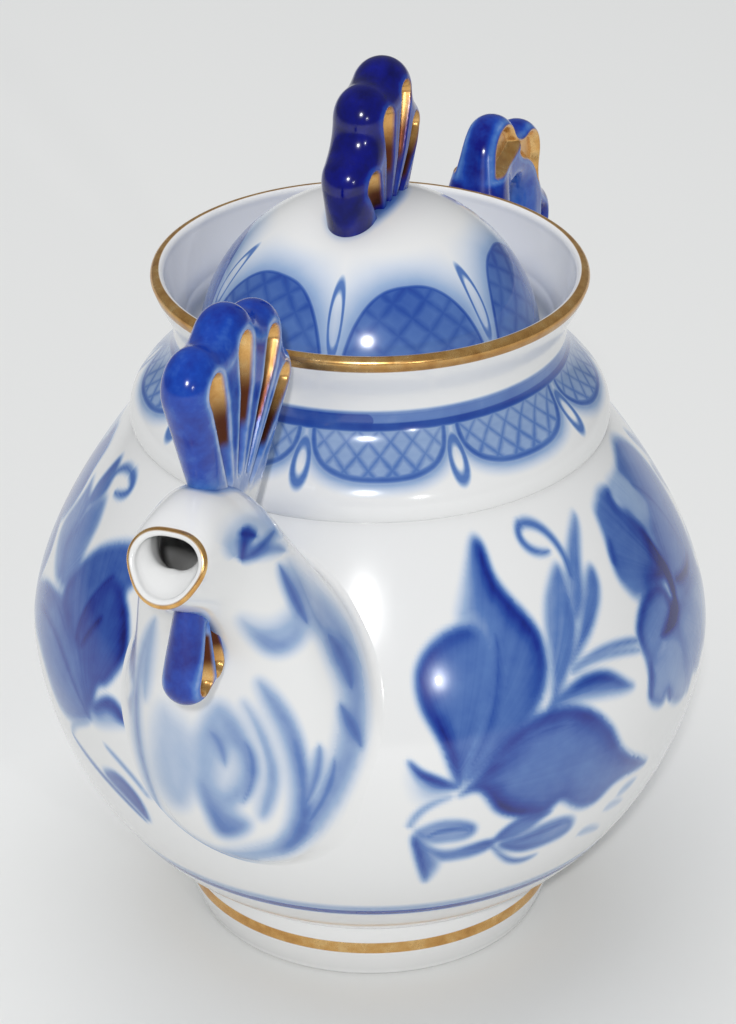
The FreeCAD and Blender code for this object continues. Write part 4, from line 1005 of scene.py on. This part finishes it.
def make_spout():
    """Bird's head and breast: a soft fillet rising from the belly, the ovals, a rolled lip and the channel inside."""
    turn = np.linspace(0, 2 * np.pi, 320, endpoint=False)
    foot_s, rise_s = crossing(turn, 0, 0), crossing(turn, 0, 1.8)
    foot, rise = spout_place(foot_s, turn, 0), spout_place(rise_s, turn, 0)
    along = np.roll(foot, -1, 0) - np.roll(foot, 1, 0)
    normal = np.stack([foot[:, 0], foot[:, 1], np.zeros(len(turn))], 1)
    normal /= np.linalg.norm(normal, axis=1)[:, None]
    slope = (pot_r(foot[:, 2] + .5) - pot_r(foot[:, 2] - .5))[:, None]
    normal = normal - slope * np.array([0, 0, 1.0])
    normal /= np.linalg.norm(normal, axis=1)[:, None]
    outward = np.cross(along, normal)
    outward /= np.linalg.norm(outward, axis=1)[:, None]
    centre = foot.mean(0)
    outward *= np.sign(((foot - centre) * outward).sum(1))[:, None]
    hem = foot + 2.2 * outward
    grow = (pot_r(hem[:, 2]) - .06) / np.hypot(hem[:, 0], hem[:, 1])
    hem[:, 0] *= grow
    hem[:, 1] *= grow
    t = np.linspace(0, 1, 8)[:, None, None]
    fillet = (1 - t) ** 2 * hem + 2 * t * (1 - t) * foot + t ** 2 * rise
    sunk = hem - 1.2 * normal
    climb = np.linspace(0, 1, 170)[1:, None]
    station = rise_s + (MOUTH_STATION - rise_s) * climb
    outer = spout_place(station, np.broadcast_to(turn, station.shape), 0)
    mouth_out = spout_place(np.full(len(turn), MOUTH_STATION), turn, 0)
    mouth_in = spout_place(np.full(len(turn), MOUTH_STATION), turn, MOUTH_WALL)
    low, high = np.array(STATIONS_LOW[-1]), np.array(STATIONS_HIGH[-1])
    ahead = np.array([high[1] - low[1], 0, low[0] - high[0]])
    ahead = ahead / np.linalg.norm(ahead)
    swing = np.linspace(0, np.pi, 9)[1:, None, None]
    middle, half = (mouth_out + mouth_in) / 2, (mouth_out - mouth_in) / 2
    lip = middle + half * np.cos(swing) + ahead * (MOUTH_WALL / 2) * np.sin(swing)
    inner_s = crossing(turn, SPOUT_WALL, -1.2)
    back = MOUTH_STATION + (inner_s - MOUTH_STATION) * np.linspace(0, 1, 60)[1:, None]
    deep = np.linspace(0, 1, 60)[1:, None]
    sill = 6.0 * smooth(0, .1, deep) * smooth(.5, .15, deep) * (.5 - .5 * np.cos(turn)) ** 1.2
    wall = MOUTH_WALL + (SPOUT_WALL - MOUTH_WALL) * deep + sill
    inner = spout_place(back, np.broadcast_to(turn, back.shape), np.broadcast_to(wall, back.shape))
    grid = np.vstack([sunk[None], fillet, outer, lip, inner])
    gilt = np.zeros(grid.shape[:2])
    start = 1 + len(fillet) + len(outer)
    gilt[start - 1:start + 3] = 1
    outside = np.zeros(grid.shape[:2], bool)
    outside[:start] = True
    pigment, bristle = np.zeros(grid.shape[:2]), np.zeros(grid.shape[:2])
    skin = grid[outside]
    pigment[outside], bristle[outside] = paint(breast_flat(skin), BREAST, BREAST_STROKES)
    bristle[outside] *= .5
    face, _ = paint(breast_flat(skin * (1, 0, 1) + np.abs(skin) * (0, 1, 0)), [], EYE_STROKES)
    crown = np.broadcast_to(np.cos(turn), grid.shape[:2])[outside]
    comb_run = .6 * smooth(5.6, 2.6, along_line(skin, 69, 87.5)) * smooth(.3, .7, crown)
    wattle_run = .5 * smooth(5.0, 2.4, along_line(skin, 88, 97)) * smooth(-.3, -.7, crown) * smooth(100, 112, skin[:, 2])
    pigment[outside] = np.maximum.reduce([pigment[outside], face, comb_run, wattle_run])
    return piece("spout_head", grid, "pot", "spout", PAINTED_SPOUT,
                 {"pigment": pigment, "bristle": bristle, "gilt": gilt})


# Fans: comb, wattle and finial

def angle_to(centre, place):
    return math.atan2(place[1] - centre[1], place[0] - centre[0])


def tangent_angle(place, centre, radius, side):
    """Angle at which the line from a place touches a circle."""
    reach = math.hypot(place[0] - centre[0], place[1] - centre[1])
    return angle_to(place, centre) + math.pi - side * math.acos(radius / reach)


def dip_centre(first, second, dip_r):
    """Centre of the small arc between two lobes, left of the way from the first to the second."""
    (a, radius_a), (b, radius_b) = first, second
    run, rise = b[0] - a[0], b[1] - a[1]
    gap = math.hypot(run, rise)
    arm_a, arm_b = radius_a + dip_r, radius_b + dip_r
    along = (gap * gap + arm_a * arm_a - arm_b * arm_b) / (2 * gap)
    aside = math.sqrt(arm_a * arm_a - along * along)
    return (a[0] + (run * along - rise * aside) / gap, a[1] + (rise * along + run * aside) / gap)


def lobed_outline(start, lobes, end, dip_r):
    """Outline from start clockwise round the lobe circles, with a small arc in each dip, to end."""
    entry = tangent_angle(start, lobes[0][0], lobes[0][1], 1)
    runs = [np.array([start], float)]
    dips = []
    for first, second in zip(lobes[:-1], lobes[1:]):
        dip = dip_centre(first, second, dip_r)
        leave = angle_to(first[0], dip)
        runs.append(round_arc(first[0], first[1], entry, leave, True))
        runs.append(round_arc(dip, dip_r, leave + math.pi, angle_to(dip, second[0]), False, 20)[1:-1])
        entry = angle_to(second[0], dip)
        dips.append(dip)
    leave = tangent_angle(end, lobes[-1][0], lobes[-1][1], -1)
    runs += [round_arc(lobes[-1][0], lobes[-1][1], entry, leave, True), np.array([end], float)]
    return np.vstack(runs), np.array(dips)


def bead(gap, edge, power):
    """Rounded edge: 0 at the outline, rising to 1 at the edge width as a superellipse."""
    return (1 - (1 - np.clip(gap / edge, 0, 1)) ** power) ** (1 / power)


def make_fan(name, node, body, base, centres, radii, thick, draft, flute_r, flute_deep, gilt_from, pale, fade):
    """Lobed fan: flat places run from the base to the outline, and its thickness stands square to them.

    The thickness is a rounded bead along the outline, thins towards the base by the draft, and is cut by a
    tapered flute that runs from near the base into each lobe, with a hollow of the power 2.6 across it.
    """
    lobes = list(zip(centres, radii))
    outline, _ = lobed_outline(base[0], lobes, base[1], 7.0)
    rim = even(outline, 380)
    base = np.asarray(base, float)
    share = np.linspace(0, 1, len(rim))[:, None]
    foot = base[0] + share * (base[1] - base[0])
    reach = 1 - (1 - np.linspace(0, 1, 100)) ** 1.5
    flat = foot[None] + reach[:, None, None] * (rim - foot)[None]
    gap = gap_to(flat, even(outline, 1400))
    gap[-1] = 0
    root = base.mean(0)
    tip = (np.array(centres[0]) + np.array(centres[-1])) / 2
    axis = tip - root
    length = np.linalg.norm(axis)
    climb = (flat - root) @ (axis / length)
    half = thick / 2 - np.tan(math.radians(draft)) * np.clip(length - climb, 0, None)
    edge = thick / 2
    tall = half * bead(gap, edge, 2.0)
    gilt, thin, painted_dark_reflection = np.zeros(tall.shape), np.zeros(tall.shape), np.zeros(tall.shape)
    for centre, _ in lobes:
        start = root + .32 * (np.array(centre) - root)
        way = np.array(centre) - start
        along = np.clip(((flat - start) @ way) / (way @ way), 0, 1)
        radius = 1.0 + (flute_r - 1.0) * along
        off = np.linalg.norm(flat - start - along[..., None] * way, axis=-1)
        deep = flute_deep * (.35 + .65 * along)
        floor = half - deep * (1 - (off / radius) ** 2.6)
        tall = soft_min(tall, floor, .6)
        gilt = np.maximum(gilt, smooth(radius + .1, radius - .35, off) * smooth(gilt_from, gilt_from + .12, along))
        # Painted dark reflection: each gilt flute turns browner towards its root
        painted_dark_reflection = np.maximum(painted_dark_reflection, smooth(.97, .6, along) * smooth(radius + 1, radius, off))
        thin = np.maximum(thin, (.2 + .8 * pale) * np.exp(-((off - radius - .5) / .8) ** 2))
    thin = np.maximum(thin, .35 * np.exp(-((gap - edge) / 1.0) ** 2))
    thin = np.maximum(thin, fade * smooth(length * .62, length * .3, climb)) + fade * smooth(9, 4, climb) + pale
    tall = np.clip(tall, 0, None)
    sides = []
    for sign in (1, -1):
        sides.append(np.stack([flat[..., 0], sign * tall, flat[..., 1]], -1))
    grid = np.vstack([sides[0], sides[1][::-1]])
    fields = {label: np.vstack([values, values[::-1]]) for label, values in (("gilt", gilt), ("thin", thin), ("painted_dark_reflection", painted_dark_reflection))}
    return piece(name, grid, body, node, COBALT, fields, close_cols=False)


# Handle

HANDLE_LOBES = ((73.0, 153.5), (90.3, 146.5), (97.0, 128.0), (99.5, 109.0))
HANDLE_LOBE_R = (9.4, 8.8, 8.8, 8.0)
TAIL_BEND, LOW_ROOT, TOP_ROOT = (101.0, 75.0), (64.0, 56.0), (48.0, 116.0)
FINGER_TOP, FINGER_LOW = np.array((79.5, 134.5)), np.array((77.5, 94.0))
FINGER_TOP_R, FINGER_LOW_R = 10.0, 12.5


def make_handle():
    """Tail-shaped loop: flat places run from the finger opening to the lobed outline, with pocketed lobes."""
    lobes = [((-u, z), r) for (u, z), r in zip(HANDLE_LOBES, HANDLE_LOBE_R)][::-1]
    bend, low, top = [(-u, z) for u, z in (TAIL_BEND, LOW_ROOT, TOP_ROOT)]
    outline, dips = lobed_outline(bend, lobes, top, 7.0)
    tail = curve([low, bend, bend, tuple(outline[1])], 60)
    outer = np.vstack([tail[:-1], outline[1:]])
    heights = np.linspace(top[1], low[1], 60)[1:-1]
    outer = np.vstack([even(outer, 900), np.stack([-pot_r(heights) + 1.8, heights], 1)])
    outer[:, 0] = np.minimum(outer[:, 0], -pot_r(outer[:, 1]) + 1.8)
    shown = outer[outer[:, 0] < -pot_r(outer[:, 1]) + 1.7]
    rim = even(np.vstack([outer, outer[:1]]), 421)[:-1]
    spine_top, spine_low = FINGER_TOP * (-1, 1), FINGER_LOW * (-1, 1)
    way = spine_top - spine_low
    share = np.clip(((rim - spine_low) @ way) / (way @ way), 0, 1)
    centre = spine_low + share[:, None] * way
    ray = (rim - centre) / np.linalg.norm(rim - centre, axis=1)[:, None]
    hole = centre + ray * (FINGER_LOW_R + share * (FINGER_TOP_R - FINGER_LOW_R))[:, None]
    x = np.linspace(0, 1, 72)
    reach = .5 - .5 * np.cos(np.pi * x)
    reach = .5 * reach + .5 * x
    flat = hole[None] + reach[:, None, None] * (rim - hole)[None]
    to_rim = gap_to(flat, even(shown, 1600))
    to_rim[-1] = np.where(rim[:, 0] < -pot_r(rim[:, 1]) + 1.7, 0, to_rim[-1])
    to_hole = gap_to(flat, even(np.vstack([hole, hole[:1]]), 900))
    to_hole[0] = 0
    half = 4.9 + 2.4 * smooth(160, 143, flat[..., 1]) * smooth(-76, -66, flat[..., 0]) * smooth(100, 128, flat[..., 1])
    tall = half * bead(to_rim, 4.6, 2.0) * bead(to_hole, 4.0, 2.2)
    pocket = np.full(tall.shape, -9.0)
    for index, (place, radius) in enumerate(lobes):
        place = np.array(place)
        out = place - spine_low - np.clip(((place - spine_low) @ way) / (way @ way), 0, 1) * way
        out = out / np.linalg.norm(out)
        inside = radius + 2.2 - np.linalg.norm(flat - place, axis=-1)
        inside = soft_min(inside, (flat - place) @ out + (.8 if index < 2 else 2.8), .8)
        inside = soft_min(inside, soft_min(to_rim - (4.4 if index < 2 else 1.9), to_hole - 5.0, .8), .8)
        if index == 3:
            inside = soft_min(inside, flat[..., 1] - 151.5, .8)
        pocket = np.maximum(pocket, inside)
    tall = tall - 2.6 * smooth(-.1, 2.0, pocket)
    gilt = smooth(-.2, .25, pocket) * smooth(134, 138, flat[..., 1])
    arch = smooth(9.5, 5.0, to_hole) * smooth(-.1, -1.2, pocket) * smooth(118, 136, flat[..., 1])
    thin = np.maximum(.45 * np.exp(-((pocket + .7) / .7) ** 2), .28 * arch) + .27
    grid = np.vstack([np.stack([flat[..., 0], tall, flat[..., 1]], -1),
                      np.stack([flat[..., 0], -tall, flat[..., 1]], -1)[::-1]])
    fields = {label: np.vstack([values, values[::-1]]) for label, values in (("gilt", gilt), ("thin", thin), ("painted_dark_reflection", gilt * 0))}
    return piece("tail_handle", grid, "pot", "handle", COBALT, fields)


make_belly()
make_neck()
make_foot()
make_lid()
make_spout()
make_fan("comb_fan", "comb", "pot", ((68.0, 127.0), (88.0, 138.0)),
         ((57.5, 156.5), (63.5, 167.5), (77.0, 172.0), (91.0, 169.0)), (7.0, 7.8, 8.2, 8.0), 10.4, 5.0, 3.6, 3.0, .3, .42, .45)
make_fan("wattle_fan", "wattle", "pot", ((99.0, 125.0), (86.5, 121.5)), ((97.2, 107.0), (90.8, 107.8)), (5.2, 5.0),
         10.0, 8.0, 3.0, 3.0, .1, .34, 0)
make_fan("finial_fan", "finial", "lid", ((-10.5, 163.6), (15.0, 163.0)),
         ((-12.0, 185.0), (-6.2, 194.2), (3.6, 191.6), (11.0, 180.0)), (6.4, 7.2, 7.2, 6.8), 12.0, 4.0, 3.1, 3.0, .3, .1, 0)
make_handle()


# Stage, light and camera

def flat_stage(name, corners, material):
    mesh = bpy.data.meshes.new(name)
    mesh.from_pydata(corners, [], [(0, 1, 2, 3)])
    mesh.materials.append(material)
    made = bpy.data.objects.new(name, mesh)
    bpy.context.scene.collection.objects.link(made)
    return made


def floor_material():
    made, tree = new_material("pale_cloth")
    shader = put(tree, "ShaderNodeBsdfPrincipled", {"Base Color": linear(236, 236, 234), "Roughness": .9})
    end = put(tree, "ShaderNodeOutputMaterial")
    tree.links.new(shader.outputs[0], end.inputs["Surface"])
    return made


FLOOR_HALF = 3.0
flat_stage("floor", [(-FLOOR_HALF, -FLOOR_HALF, 0), (FLOOR_HALF, -FLOOR_HALF, 0), (FLOOR_HALF, FLOOR_HALF, 0),
                     (-FLOOR_HALF, FLOOR_HALF, 0)], floor_material())


def looking(place, target):
    """Matrix of a lamp or camera at a place, looking at a target with its top upwards."""
    back = np.array(place, float) - np.array(target, float)
    back /= np.linalg.norm(back)
    right = np.cross([0, 0, 1.0], back)
    right /= np.linalg.norm(right)
    up = np.cross(back, right)
    turn = Matrix(np.stack([right, up, back], 1).tolist()).to_4x4()
    turn.translation = place
    return turn


def lamp(name, place, target, size, power, colour=(1, 1, 1)):
    light = bpy.data.lights.new(name, "AREA")
    light.shape = "RECTANGLE"
    light.size, light.size_y = size
    light.energy = power
    light.color = colour
    made = bpy.data.objects.new(name, light)
    made.matrix_world = looking(place, target)
    bpy.context.scene.collection.objects.link(made)
    return made


# The camera stands at 22 degrees from the spout towards +Y and looks down by 28.11 degrees
CAMERA_TURN, CAMERA_TILT = math.radians(22), math.radians(28.11)
CAMERA_REACH, CAMERA_UP = .7411, .4924


def seen(right, away, up):
    """Place given as (right, away from the camera, up) about the pot's axis, in the shared frame."""
    s, c = math.sin(CAMERA_TURN), math.cos(CAMERA_TURN)
    return (-s * right - c * away, c * right - s * away, up)


camera = bpy.data.cameras.new("photo_camera")
camera.sensor_fit = "VERTICAL"
camera.sensor_height = 36
camera.sensor_width = 36
camera.lens = 3801 / 1024 * 36
view = bpy.data.objects.new("photo_camera", camera)
eye = seen(-.00044, -CAMERA_REACH, CAMERA_UP)
ahead = seen(-.00044, -CAMERA_REACH + math.cos(CAMERA_TILT), CAMERA_UP - math.sin(CAMERA_TILT))
view.matrix_world = looking(eye, ahead)
bpy.context.scene.collection.objects.link(view)
bpy.context.scene.camera = view

lamp("overhead", seen(-.2, .45, 1.6), seen(0, .3, 0), (2.2, 1.8), 17).visible_glossy = False
lamp("flash", seen(-.06, -1.5, 1.05), seen(0, 0, .09), (.07, .07), 13)
lamp("window", seen(.7, -1.65, .66), seen(0, 0, .09), (.05, .05), 2.4)

world = bpy.data.worlds.new("soft_room")
bpy.context.scene.world = world
world.use_nodes = True
room = world.node_tree.nodes["Background"]
room.inputs[0].default_value = (.93, .96, 1, 1)
glossy = put(world.node_tree, "ShaderNodeLightPath").outputs["Is Glossy Ray"]
world.node_tree.links.new(calc(world.node_tree, "MULTIPLY_ADD", glossy, -.14, .34), room.inputs[1])
bpy.context.scene.view_settings.view_transform = "Standard"
